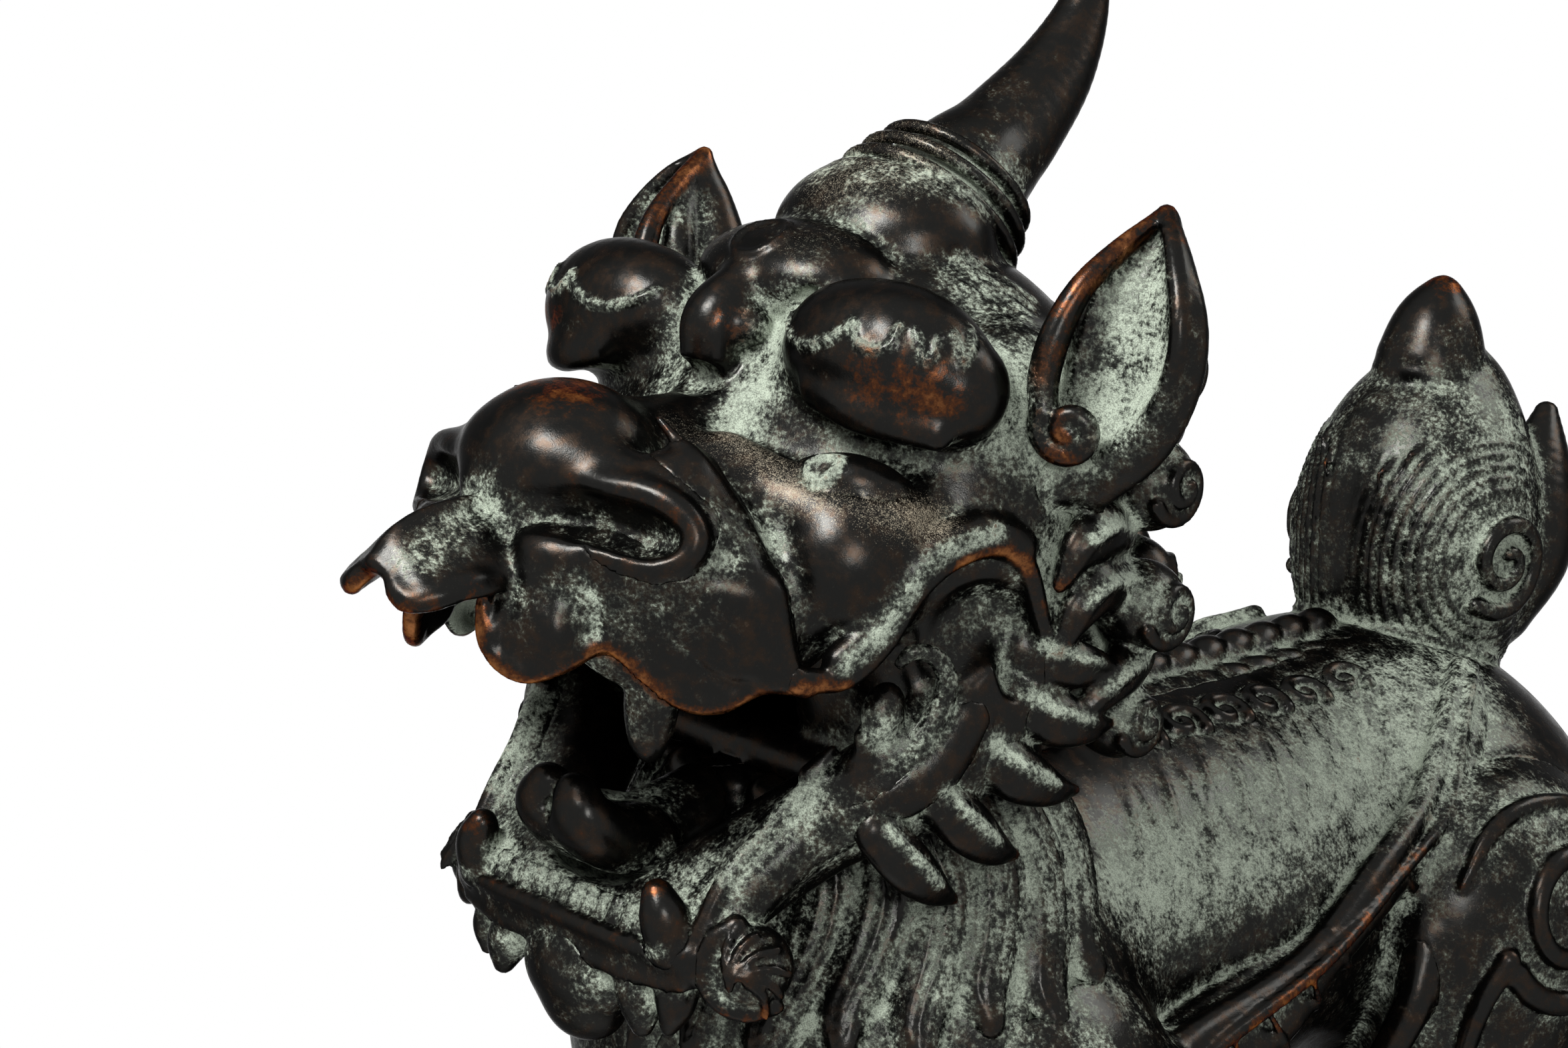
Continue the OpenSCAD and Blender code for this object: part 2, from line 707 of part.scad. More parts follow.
module ear_form() {
    foot = ear_foot;
    hull() {
        ball(foot + [4, -3, 0], 6, fn = small_fn);
        ball(foot + [6, -8, 12], 3, fn = tiny_fn);
        ball(foot + [ear_w - 8, -3, 4], 2.5, fn = tiny_fn);
        ball(foot + [ear_w - 4.5, -1, ear_h / 2], 2.5, fn = tiny_fn);
        ball(foot + [11, 7, ear_h - 3], 1.6, fn = tiny_fn);
    }
    // the scroll at its foot
    hull() {
        ball(foot + [1, 1, -3], 6, fn = small_fn);
        ball(foot + [8, -10, 2], 4.5, fn = tiny_fn);
    }
}

module ear(side) color(bronze) in_head() difference() {
    union() {
        scale([side, 1, 1]) ear_form();
        ear_seat(side);
    }
    difference() {
        head_solid();
        ear_seat(side);
    }
    // the cupped face
    scale([side, 1, 1]) ball(ear_foot + [14, -9, 15], 7, [0.9, 0.8, 1.5], small_fn);
}

// Horn, swept back from the crown

horn_steps = 7;
horn_tip_r = 2.6;
function horn_point(t) = [0, horn_len * (1.07 * t - 0.4 * t * t), horn_len * (0.55 * t + 0.18 * t * t)];
function horn_radius(t) = horn_tip_r + (horn_d / 2 - horn_tip_r) * (1 - t);

module horn_form() {
    chain([for (i = [0 : horn_steps])
        [horn_foot + horn_point(i / horn_steps), horn_radius(i / horn_steps), [1, 1, 1]]], small_fn);
    // the stepped ring round the foot
    ball(horn_foot + horn_point(0.04), horn_d / 2 + 4, [1, 1.1, 0.8], small_fn);
}

module horn() color(bronze) in_head() difference() {
    union() {
        horn_form();
        horn_seat();
    }
    difference() {
        head_solid();
        horn_seat();
    }
}

// Mane: flame tufts behind the cheeks and round curls at its edge

function on_skull(a, z, out) =
    let (ring = sqrt(max(0.05, 1 - pow((z - skull_mid[2]) / (skull_h / 2 + 6), 2))))
    [(skull_w / 2 * ring + out) * cos(a),
     skull_mid[1] + (skull_h / 2 * skull_stretch[1] * ring + out) * sin(a), z];

nape_half_w = 25;
curl_r = curl_d / 2;

mane_t = 4;
module mane_pad() intersection() {
    ball(skull_mid, skull_h / 2 + mane_t, skull_stretch);
    translate([-100, 8, -34]) cube([200, 100, 62]);
}

module side_mane_form() {
    mane_pad();
    for (z = [12, -7, -24])
        for (a = [-8, 16]) {
            root = on_skull(a, z, 2);
            hull() {
                ball(root, 7, [1, 1, 1.1], tiny_fn);
                ball(root + tuft_len * [0.3 * cos(a), 0.8, -0.25], 1.5, fn = tiny_fn);
            }
        }
    for (z = [26, 9, -9, -26])
        ball([cheek_x + 11 - abs(z - 9) / 12, 30, z], curl_r - 1, [1, 1, 1], tiny_fn);
    // the lowest tufts hang beside the jaw
    for (y = [-6, 8])
        hull() {
            ball([cheek_x + 4, y, -29], 7, fn = tiny_fn);
            ball([cheek_x + 3, y + 3, -30 - tuft_len * 0.8], 2, fn = tiny_fn);
        }
    hull() {
        ball([cheek_x + 6, -6, -28], 6, fn = tiny_fn);
        ball([cheek_x + 6, 24, -21], 7, fn = tiny_fn);
    }
}

module nape_mane_form() {
    mane_pad();
    for (x = [-16, 0, 16])
        for (z = [22, 6, -10])
            ball([x, skull_mid[1] + skull_h / 2 * skull_stretch[1] * sqrt(1 - pow(z / 60, 2)), z], curl_r,
                 [1.1, 1, 1.1], tiny_fn);
}

module side_mane(side) color(dark_bronze) in_head() difference() {
    intersection() {
        scale([side, 1, 1]) side_mane_form();
        translate([side * (nape_half_w + 100), 0, 0]) cube([200, 400, 400], center = true);
    }
    skull_form();
    jaw_form();
    scale([side, 1, 1]) ear_form();
    ear_seat(side);
    frill_form();
    neck_room();
    hinge_room_form();
}

module nape_mane() color(dark_bronze) in_head() difference() {
    intersection() {
        nape_mane_form();
        cube([2 * nape_half_w - 0.1, 400, 400], center = true);
    }
    skull_form();
    horn_form();
    neck_room();
    hinge_room_form();
}

torso_shell();
neck_ring();
hair_ruff();
spine_crest();
wing(1);  // left_wing
wing(-1);  // right_wing
front_leg(1);  // front_left_leg
front_leg(-1);  // front_right_leg
rear_leg(1);  // rear_left_leg
rear_leg(-1);  // rear_right_leg
tail();
hinge_leaf_body();
hinge_pin();
hinge_leaf_head();
head_shell();
lower_jaw();
lip_frill();
tongue();
upper_fangs();
lower_teeth();
beard();
ear(1);  // left_ear
ear(-1);  // right_ear
horn();
side_mane(1);  // left_mane
side_mane(-1);  // right_mane
nape_mane();
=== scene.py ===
import json
import math

import bpy
import numpy as np
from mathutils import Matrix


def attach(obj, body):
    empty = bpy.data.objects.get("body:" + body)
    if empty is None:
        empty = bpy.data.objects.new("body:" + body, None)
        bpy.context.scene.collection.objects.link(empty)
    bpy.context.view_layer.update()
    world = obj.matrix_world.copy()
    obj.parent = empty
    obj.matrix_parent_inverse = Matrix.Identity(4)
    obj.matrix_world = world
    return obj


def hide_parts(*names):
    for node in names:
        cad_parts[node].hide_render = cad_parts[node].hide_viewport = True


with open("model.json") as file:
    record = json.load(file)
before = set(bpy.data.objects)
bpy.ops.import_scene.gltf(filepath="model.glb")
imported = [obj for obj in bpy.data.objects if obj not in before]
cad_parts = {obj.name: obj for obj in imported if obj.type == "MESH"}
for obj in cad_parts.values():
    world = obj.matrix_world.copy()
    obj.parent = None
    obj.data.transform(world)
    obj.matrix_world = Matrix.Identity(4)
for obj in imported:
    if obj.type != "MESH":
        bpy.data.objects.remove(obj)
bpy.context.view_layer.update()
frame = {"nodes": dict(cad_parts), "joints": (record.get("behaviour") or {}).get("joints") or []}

import openvdb
from mathutils import Matrix, Vector

bl_info = {
    "name": "Guardian lion censer",
    "version": (1, 0, 0),
    "blender": (4, 5, 0),
    "location": "View3D > Sidebar > Guardian lion",
    "description": "Sculpts the cast bronze guardian lion with its hinged head and lights it",
    "category": "Object",
}

HINGE = next(j for j in frame["joints"] if j["name"] == "head_hinge")


# Clay: forms are blended as distances on a regular grid, in millimetres, and then skinned


def smooth_min(a, b, k):
    if k <= 0:
        return np.minimum(a, b)
    h = np.clip(0.5 + 0.5 * (b - a) / k, 0, 1)
    return b + (a - b) * h - k * h * (1 - h)


def curve(points, count=6):
    """A smooth line through the points; a fourth number, the radius, is carried along."""
    p = np.array(points, float)
    if len(p) < 3:
        t = np.linspace(0, 1, count + 1)[:, None]
        return p[0] + (p[1] - p[0]) * t
    q = np.vstack([2 * p[0] - p[1], p, 2 * p[-1] - p[-2]])
    out = []
    for i in range(1, len(q) - 2):
        a, b, c, d = q[i - 1 : i + 3]
        for t in np.arange(count) / count:
            out.append(
                0.5 * (2 * b + (c - a) * t + (2 * a - 5 * b + 4 * c - d) * t**2 + (3 * b - a - 3 * c + d) * t**3)
            )
    out = np.array(out + [p[-1]])
    if out.shape[1] == 4:
        out[:, 3] = np.maximum(out[:, 3], 0.2)
    return out


def unit(v):
    v = np.array(v, float)
    return v / np.linalg.norm(v)


def spiral(centre, r, turns, axis, start, rise=0.0, thick=(1.3, 0.8), count=26, core=0.14):
    """Points of a flat spiral that winds in round its centre, facing axis, from the side that start points to."""
    a = unit(axis)
    s = np.array(start, float)
    s = unit(s - a * (s @ a))
    t = np.cross(a, s)
    u = np.linspace(0, 1, count)
    angle = 2 * np.pi * turns * u
    rad = r * (1 - (1 - core) * u)
    p = np.array(centre) + rad[:, None] * (np.cos(angle)[:, None] * s + np.sin(angle)[:, None] * t)
    p = p + (rise * u)[:, None] * a
    return np.column_stack([p, thick[0] + (thick[1] - thick[0]) * u])


def box_blur(f, n):
    """The mean over a cube of 2n+1 cells, with the edge cells repeated."""
    for axis in range(3):
        pad = [(0, 0)] * 3
        pad[axis] = (n + 1, n)
        c = np.cumsum(np.pad(f, pad, mode="reflect" if axis == 0 else "edge"), axis=axis, dtype=np.float64)
        hi = [slice(None)] * 3
        lo = [slice(None)] * 3
        hi[axis] = slice(2 * n + 1, None)
        lo[axis] = slice(None, -2 * n - 1)
        f = ((c[tuple(hi)] - c[tuple(lo)]) / (2 * n + 1)).astype(np.float32)
    return f


class Clay:
    """One casting, mirrored across X: minus inside. Each form belongs to the piece that is current."""

    def __init__(self, low, high, step):
        self.step = step
        self.low = np.array([0.0, low[1], low[2]])
        self.size = [int(np.ceil((high[i] - self.low[i]) / step)) + 1 for i in range(3)]
        self.axes = [(self.low[i] + step * np.arange(self.size[i])).astype(np.float32) for i in range(3)]
        self.f = np.full(self.size, 40.0, np.float32)
        self.best = np.full(self.size, 40.0, np.float32)
        self.label = np.zeros(self.size, np.int8)
        self.names = []
        self.owner = 0
        self.paint = {}

    def piece(self, name):
        if name not in self.names:
            self.names.append(name)
        self.owner = self.names.index(name)

    def window(self, low, high):
        cut = []
        for i in range(3):
            a = max(int(np.floor((low[i] - self.low[i]) / self.step)), 0)
            b = min(int(np.ceil((high[i] - self.low[i]) / self.step)) + 1, self.size[i])
            if a >= b:
                return None, None
            cut.append(slice(a, b))
        shape = ((-1, 1, 1), (1, -1, 1), (1, 1, -1))
        return tuple(cut), [self.axes[i][cut[i]].reshape(shape[i]) for i in range(3)]

    def join(self, cut, d, k, carve):
        d = d.astype(np.float32)
        here = self.f[cut]
        if carve:
            self.f[cut] = -smooth_min(-here, d, k)
            return
        self.f[cut] = smooth_min(here, d, k)
        near = d < self.best[cut]
        self.best[cut][near] = d[near]
        self.label[cut][near] = self.owner

    def blob(self, c, r, k=1.0, along=(1, 0, 0), up=(0, 0, 1), carve=False):
        """An ellipsoid: its first radius lies along one direction, its third near another."""
        a = unit(along)
        n = unit(np.cross(np.array(up, float), a))
        w = np.cross(a, n)
        reach = np.sqrt((np.array([a * r[0], n * r[1], w * r[2]]) ** 2).sum(0)) + k + 2 * self.step
        cut, g = self.window(np.array(c) - reach, np.array(c) + reach)
        if cut is None:
            return
        x, y, z = g[0] - c[0], g[1] - c[1], g[2] - c[2]
        u = (x * a[0] + y * a[1] + z * a[2]) / r[0]
        v = (x * n[0] + y * n[1] + z * n[2]) / r[1]
        t = (x * w[0] + y * w[1] + z * w[2]) / r[2]
        s = np.sqrt(u * u + v * v + t * t)
        grad = np.sqrt((u / r[0]) ** 2 + (v / r[1]) ** 2 + (t / r[2]) ** 2)
        self.join(cut, s * (s - 1) / np.maximum(grad, 1e-6), k, carve)

    def rod(self, points, r, k, flat, count):
        """Distances to a rod along a smooth line, and the window that they fill."""
        p = curve(points, count)
        rad = p[:, 3] if p.shape[1] == 4 else np.full(len(p), float(r))
        p = p[:, :3]
        most = rad.max() + k + 2 * self.step
        cut, g = self.window(p.min(0) - most, p.max(0) + most)
        if cut is None:
            return None, None
        d = np.full([c.stop - c.start for c in cut], 1e3, np.float32)
        for i in range(len(p) - 1):
            a, b = p[i], p[i + 1]
            reach = max(rad[i], rad[i + 1]) + k + 2 * self.step
            sub, h = self.window(np.minimum(a, b) - reach, np.maximum(a, b) + reach)
            if sub is None:
                continue
            x, y, z = h[0] - a[0], h[1] - a[1], h[2] - a[2]
            e = b - a
            t = np.clip((x * e[0] + y * e[1] + z * e[2]) / max(e @ e, 1e-9), 0, 1)
            x, y, z = x - t * e[0], y - t * e[1], z - t * e[2]
            share = 1.0
            if flat is not None:
                n, share = unit(flat[0]), flat[1]
                q = (x * n[0] + y * n[1] + z * n[2]) * (1 / share - 1)
                x, y, z = x + q * n[0], y + q * n[1], z + q * n[2]
            far = (np.sqrt(x * x + y * y + z * z) - (rad[i] + t * (rad[i + 1] - rad[i]))) * share
            at = tuple(slice(sub[j].start - cut[j].start, sub[j].stop - cut[j].start) for j in range(3))
            d[at] = np.minimum(d[at], far)
        return cut, d

    def tube(self, points, r=None, k=1.0, carve=False, flat=None, count=6):
        """A rod along a smooth line; points are (x, y, z) with r, or (x, y, z, radius).
        flat = (direction, share) squashes it across a direction."""
        cut, d = self.rod(points, r, k, flat, count)
        if cut is not None:
            self.join(cut, d, k, carve)

    def brush(self, name, points, soft, r=0.0, amount=1.0, count=6):
        """Paints along a smooth line, fading out over soft millimetres."""
        if name not in self.paint:
            self.paint[name] = np.zeros(self.size, np.float16)
        cut, d = self.rod(np.array(points, float)[:, :3], r, 2.2 * soft, None, count)
        if cut is not None:
            dab = amount * np.exp(-((np.maximum(d, 0) / soft) ** 2))
            self.paint[name][cut] = np.maximum(self.paint[name][cut], dab.astype(np.float16))

    def keep(self, inside, k=0.0):
        """Keeps only what lies inside a form given by its distances over the grid."""
        self.f = -smooth_min(-self.f, -inside.astype(np.float32), k)

    def cut_away(self, form, k=0.0):
        self.f = -smooth_min(-self.f, form.astype(np.float32), k)

    def grid(self):
        return self.window(self.low - 1, self.low + self.step * np.array(self.size) + 1)[1]

    def at(self, p, field=None):
        """Values of the field at points, by linear interpolation."""
        f = self.f if field is None else field
        p = np.array(p, float).reshape(-1, 3).copy()
        p[:, 0] = np.abs(p[:, 0])
        q = np.clip((p - self.low) / self.step, 0, np.array(self.size) - 1.001)
        i = q.astype(int)
        t = q - i
        out = np.zeros(len(p))
        for dx in (0, 1):
            for dy in (0, 1):
                for dz in (0, 1):
                    w = t[:, 0] if dx else 1 - t[:, 0]
                    w = w * (t[:, 1] if dy else 1 - t[:, 1]) * (t[:, 2] if dz else 1 - t[:, 2])
                    out += w * f[i[:, 0] + dx, i[:, 1] + dy, i[:, 2] + dz]
        return out

    def onto(self, points, lift=0.0):
        """Moves points onto the surface as it is now; a radius is kept."""
        p = np.array(points, float)
        q = p[:, :3].copy()
        h = 2 * self.step
        for _ in range(14):
            g = np.stack([self.at(q + np.eye(3)[i] * h) - self.at(q - np.eye(3)[i] * h) for i in range(3)], 1)
            g /= 2 * h
            q -= 0.8 * (self.at(q) - lift)[:, None] * g / np.maximum((g * g).sum(1), 0.2)[:, None]
        p[:, :3] = q
        return p

    def finish(self):
        """Works out how exposed each place is, from fine edges to deep hollows."""
        s = self.step
        fine = np.clip(self.f, -1.5, 1.5)
        wide = np.clip(self.f, -4, 4)
        self.worn = box_blur(box_blur(fine, max(1, round(0.7 / s))), max(1, round(0.7 / s)))
        self.form = box_blur(box_blur(wide, max(1, round(2.0 / s))), max(1, round(2.0 / s)))
        self.deep = box_blur(wide, max(1, round(6.0 / s)))

    def skin(self, name, half=False):
        """Points and quads of one piece's surface; half leaves out the mirrored side."""
        me = self.names.index(name)
        f = self.f + 0.012 * (1 + me)
        if len(self.names) > 1:
            mine = (self.label == me).astype(np.float32)
            share = box_blur(box_blur(mine, 2), 2)
            f = np.maximum(f, (0.5 - share) * 6.5 * self.step - 0.35)
        use = np.argwhere(f < 1)
        if len(use) == 0:
            raise RuntimeError("nothing was left of " + name)
        lo = np.maximum(use.min(0) - 3, 0)
        hi = np.minimum(use.max(0) + 4, self.size)
        f = f[lo[0] : hi[0], lo[1] : hi[1], lo[2] : hi[2]]
        low = self.low + self.step * lo
        if not half and lo[0] == 0:
            f = np.concatenate([f[:0:-1], f], 0)
            low[0] = -self.step * (hi[0] - 1)
        band = 3 * self.step
        grid = openvdb.FloatGrid(band)
        grid.copyFromArray(np.clip(f, -band, band))
        points, quads = grid.convertToQuads(isovalue=0.0)
        return points * self.step + low, quads[:, ::-1]

    def marks(self, p):
        """What the bronze finish reads at each point."""
        out = {
            "worn": self.at(p, self.worn) / 0.55,
            "form": self.at(p, self.form) / 1.6,
            "deep": self.at(p, self.deep) / 3.0,
        }
        for name in ("rub", "green", "dust", "hair"):
            out[name] = self.at(p, self.paint[name]) if name in self.paint else np.zeros(len(p))
        return out


# The head, drawn about its own middle: nose towards -Y, the side that the photograph shows at +X


def ring(centre, axis, r, thick, count=21):
    """Points of a closed ring round an axis."""
    a = unit(axis)
    s = unit(np.array([1.0, 0, 0]) - a[0] * a)
    t = np.cross(a, s)
    u = np.linspace(0, 2 * np.pi, count)
    p = np.array(centre) + r * (np.cos(u)[:, None] * s + np.sin(u)[:, None] * t)
    return np.column_stack([p, np.full(count, thick)])


RIDGE = [(16, -37, 23.2, 0.6), (20, -35.8, 19.6, 0.9), (26, -33.6, 13.2, 1.2), (30.5, -32, 6.2, 1.3),
         (33.5, -31.4, -2.6, 1.4), (35.5, -30, -10.2, 1.5), (36.5, -27.8, -12.4, 1.6)]
SMILE = [(36, -28.8, -11.2, 1.6), (38, -22.5, -11.6, 1.6), (40, -17, -7.2, 1.5), (42, -13.2, -0.7, 1.4),
         (43.5, -8.1, 3.5, 1.5), (44.8, -0.8, 4.9, 1.6), (45.3, 4.8, 1.5, 1.5), (45.3, 8.1, -6.6, 1.3),
         (45, 11, -13.7, 1.0)]
HEM = [(35.8, -29, -11.8, 1.4), (33, -33, -11.8, 1.4), (29.5, -37.2, -14.4, 1.5), (26.4, -41.2, -14.0, 1.4),
       (23.8, -44.8, -10.4, 1.3), (21.2, -48.4, -6.2, 1.2), (19.5, -50.4, -5.8, 1.2), (17, -53.4, -8, 1.3),
       (13.5, -57.4, -9.9, 1.4), (10.8, -60, -8.6, 1.4), (8.8, -61.4, -5.2, 1.3), (8, -61.2, -0.6, 1.1)]
LEAF_EDGE = [(8, -60.6, 1.4, 1.0), (9.6, -63, 3.4, 1.1), (9.8, -66.4, 3.0, 1.2), (8.6, -69.8, 1.8, 1.3),
             (6.8, -72.4, 1.2, 1.4), (4.6, -73, 2.4, 1.3), (2.6, -72, 4.2, 1.1), (0, -72.8, 5.4, 1.1)]
WING = [(12, -48.4, 15.6, 1.4), (17, -47, 15.2, 2.0), (22, -44.8, 15.0, 2.1), (26, -43.2, 13.8, 2.1),
        (29, -42, 11.6, 2.0), (30.4, -42.2, 8.8, 1.9), (29.4, -44, 6.6, 1.7), (26.6, -46.8, 5.6, 1.5),
        (22.6, -49.6, 6.6, 1.3), (18.5, -51.2, 8, 1.0)]


def drawn_in(points):
    """Draws the side of the jaw in between the canine and the corner of the mouth."""
    out = []
    for x, y, z, r in points:
        t = 6.5 * max(0, 1 - ((y + 27) / 13.5) ** 2)
        out.append((x - 0.734 * t, y + 0.641 * t, z - 0.223 * t, r))
    return out


JAW_RIM = [(26.5, -40.2, -50.5, 1.5), (28, -38.9, -45.8, 1.5), (30, -36.3, -39.6, 1.5), (33, -32.4, -34, 1.5),
           (35.2, -29.2, -29.6, 1.5), (37.2, -24.8, -27, 1.6), (38.8, -20.4, -26.6, 1.7), (40.5, -15.1, -25, 1.8),
           (42, -10.6, -21, 1.8), (43, -8.1, -16.7, 1.7), (43.3, -7.9, -12.8, 1.6), (42.5, -9.7, -9.9, 1.4),
           (41.3, -12.6, -9.2, 1.2), (40.4, -13.9, -10.8, 0.9)]
JAW_RIM = drawn_in(JAW_RIM)
TUFTS = [
    [(41, 9, 13, 4), (45.4, 13.4, 12.6, 4.6), (47.8, 18.5, 15.4, 3.6), (48.6, 23, 19.5, 1.3)],
    [(42, 26, 2, 5), (46.6, 19.4, 4, 4.6), (48, 14, 3, 3.6), (47.4, 10.4, -2, 1.6)],
    [(43, 26, -6, 5), (47.2, 18.6, -4, 4.2), (47.8, 13.8, -6.4, 3.4), (47, 11.6, -11, 1.8)],
    [(42, 9.4, -12.6, 4.0), (45.8, 13.4, -14.4, 4.0), (47.2, 18, -15.6, 2.8), (47.2, 22.4, -16.6, 1.0)],
    [(42, 7, -19.6, 4.4), (45.6, 11.6, -22.4, 4.4), (46.8, 16.6, -24.2, 3.0), (46.6, 21.6, -25, 1.1)],
    [(42, 0.5, -25.6, 4.2), (45, 4.8, -29.4, 4.4), (45.6, 10.6, -32.6, 3.0), (45, 16.4, -34.4, 1.1)],
    [(41.5, -8, -31, 4.0), (43.8, -4, -35.6, 4.2), (43.8, 1, -39.8, 3.0), (42.8, 6.4, -42.6, 1.1)],
    [(39.5, -17, -35, 3.8), (42, -13.6, -39.8, 4.0), (42, -9, -44, 2.9), (41, -4, -47.4, 1.1)],
    [(42, 36, 17, 5), (47, 30, 19, 4.4), (49, 24.6, 18, 3.2), (49, 19.6, 16.4, 1.2)],
    [(43, 30, -17, 4.6), (46.8, 24, -17.6, 4.0), (47.6, 18.6, -20, 2.8), (47, 15, -23.4, 1.0)],
]
SEAM = -34.7


def sculpt_head(step):
    c = Clay((0, -82, -80), (70, 70, 90), step)
    c.piece("head_shell")
    skull(c)
    lip(c)
    nose(c)
    brows(c)
    cheek(c)
    eyes(c)
    jaw(c)
    mouth(c)
    beard(c)
    ears(c)
    horn(c)
    mane(c)
    lines(c)
    rooms(c)
    patina_and_painted_highlights(c)
    c.finish()
    return c


def skull(c):
    # skull, face, temples and the corners of the jaw
    c.blob((0, 18, 2), (43, 35.5, 42), 0)
    c.blob((0, 4, 5), (46, 24, 26), 6)
    c.blob((33, 14, 15), (13, 17, 18), 5)
    c.blob((32, 4, -13), (12.5, 15, 17), 5)
    # muzzle and the bridge of the nose
    c.blob((0, -28, 1), (30, 15, 18), 4)
    c.blob((0, -41, 2), (24, 16, 8), 5)
    c.tube([(0, -10, 15, 8), (0, -24, 13, 9.5), (0, -34, 12.5, 11)], k=4)
    # the mouth: open between the lips, and back into the hollow head
    c.blob((0, -47, -30), (90, 15.5, 14), 2.0, carve=True)
    c.blob((0, -33, -23.5), (90, 9, 9), 2.0, carve=True)
    c.blob((0, -24, -19.5), (90, 6.5, 6.5), 2.0, carve=True)
    c.blob((0, -12, -21), (25, 30, 13), 2.0, carve=True)
    # the throat behind the tongue
    c.blob((20, -4.6, -22), (11, 4.6, 14), 2.0)
    c.tube([(0, -6, -33.4, 4.6), (22, -7, -33, 5)], k=2.0)


def lip(c):
    # the side of the muzzle is a plate that ends in a step beside the cheek
    c.piece("lip_frill")
    c.tube([(20, -36, 14, 6), (26, -35, 6, 6), (29.5, -34.6, -1, 5), (31.5, -34, -8, 3.6)], k=3.0)
    c.tube([(30, -33.6, 4, 3), (32.6, -32.4, -3, 3), (34, -31.4, -9, 2.4)], k=2.5)
    # its hem hangs in lobes
    for high, low in (
        ((9.5, -52.5, 5), (9.4, -59.8, -4)), ((11.5, -52.5, 5), (11.6, -58.6, -7.4)), ((13, -52, 5), (14, -56, -8.2)),
        ((15, -50.6, 5), (16.8, -52.6, -6.4)), ((17.4, -48.6, 5), (19.6, -49.4, -4.4)),
        ((19.6, -47.4, 4), (21.4, -47.4, -4.6)), ((22.4, -45.4, 3), (24.2, -43.8, -9)),
        ((25.4, -42.6, 2.4), (26.8, -40.8, -12.8)), ((28, -39.6, 2), (29.6, -37, -13.2)),
        ((31, -35.6, 1), (33, -33, -10.6)), ((32.6, -32.6, 0), (35.2, -30, -10.6)),
    ):
        c.tube([(*high, 4.2), (*low, 1.6)], k=2.4)
    c.blob((14.4, -54.6, -4.4), (4.4, 3.6, 5.2), 2.0)
    # a broad leaf hangs forward under the nose
    for x in (0, 3, 6, 8.4):
        c.tube([(x * 0.5, -51, 9 - 0.3 * x, 3.2), (x, -60, 10.4 - 0.8 * x, 3.4), (x, -67, 9.4 - 0.75 * x, 3.2),
                (x * 0.9, -71.2 + 0.1 * x, 6.2 - 0.5 * x, 2.4)], k=1.2, flat=((0.5, 0.12, 0.85), 0.42))
    c.tube([(0, -53, 11, 1.6), (0, -60, 11.4, 1.3), (0, -66, 10.2, 1.1), (0, -71.6, 6.4, 0.8)], k=1.4)
    c.tube([(3.4, -55, 9.6, 0.8), (5.2, -61, 7.8, 0.8), (5.6, -66.6, 6.2, 0.7), (5.4, -71.6, 3.4, 0.6)], k=1.0)
    c.piece("head_shell")


def nose(c):
    # nose bulb, its column, and the wings that curl round the nostrils
    c.blob((0, -41.4, 15), (15, 13.8, 12), 1.6)
    c.tube([(3, -51, 13, 4.6), (3.6, -51.6, 9, 4.0), (3.4, -51.8, 6, 4)], k=2.0)
    c.tube([(6, -46.4, 16, 6), (14, -43.6, 14.6, 5.4), (21, -41.2, 12.6, 4.6), (26.4, -39.4, 9.6, 3.8)], k=3.0)
    c.tube([(27, -41.6, 6.4, 3.2), (24, -44.4, 4, 3.0), (17, -47.6, 5, 3)], k=2.5)
    c.tube(WING, k=1.6)
    c.tube([(9, -55.5, 12.4, 2.2), (13.5, -52.4, 12.2, 3.0), (19, -49.4, 11, 3.2), (24.4, -46.6, 9.8, 2.8),
            (27.2, -45, 9, 1.6)], k=1.6, carve=True)


def brows(c):
    # brows that grow out of the skull, the knob between them, the boss on the forehead and the crown
    c.tube([(17, -5.4, 29.5, 7.4), (24, -7, 30.6, 9.8), (33, -6, 29.6, 10.4), (40, -3.6, 26.6, 7.6)], k=4.5)
    c.tube([(24, -14.6, 25.4, 2.4), (33, -14.6, 23.6, 3.0), (42, -9.4, 21.2, 2.4)], k=2.5)
    c.tube([(0, -8, 36, 4.6), (0, -13, 32.4, 5.0), (0, -14, 28, 4.6)], k=2.0)
    c.tube([(0, -12, 30, 3.5), (4.4, -10.4, 31.5, 3.2)], k=1.5)
    c.blob((0, -17.6, 24.6), (4.8, 3.4, 2.6), 1.0, carve=True)
    c.blob((0, 2.4, 37.4), (17.5, 12, 8.2), 1.6)
    c.blob((0, 20, 41), (19, 15, 12.8), 2.0)
    c.tube([(13, -1, 39, 0.6), (10.4, -9, 34, 1.2), (9.6, -14, 27.5, 1.6), (10.6, -18, 21.6, 0.8)], k=1.8, carve=True)
    # eye: a long bulge in a socket under the brow
    c.tube([(17, -19.6, 20.6, 0.9), (24, -21, 19.4, 1.6), (32, -18.6, 18.4, 1.8), (40, -13, 17.6, 1.6),
            (46.5, -5.6, 16.4, 0.8)], k=1.2, carve=True)


def eyes(c):
    # a low almond under the brow with a ring for the iris
    line = [(26, -19.6, 17.2, 1.8), (29, -18.2, 16.6, 3.6), (33, -16, 16.0, 4.2), (36.5, -13.2, 15.4, 3.4), (39, -11, 15.0, 1.8)]
    c.tube([(*p[:3], r) for p, (_, _, _, r) in zip(c.onto(line, -1.3), line)], k=0.7)
    c.brush("green", c.onto(ring((30.6, -19.4, 16.6), (0.55, -0.82, 0.1), 2.4, 0.5), 0), 0.9, 0.3, 1.0)
    c.tube(c.onto(ring((30.6, -19.4, 16.6), (0.55, -0.82, 0.1), 2.4, 0.5), 0.15), k=0.3, count=2)
    c.tube(c.onto(ring((30.6, -19.4, 16.6), (0.55, -0.82, 0.1), 0.8, 0.5), 0.1), k=0.3, carve=True, count=2)


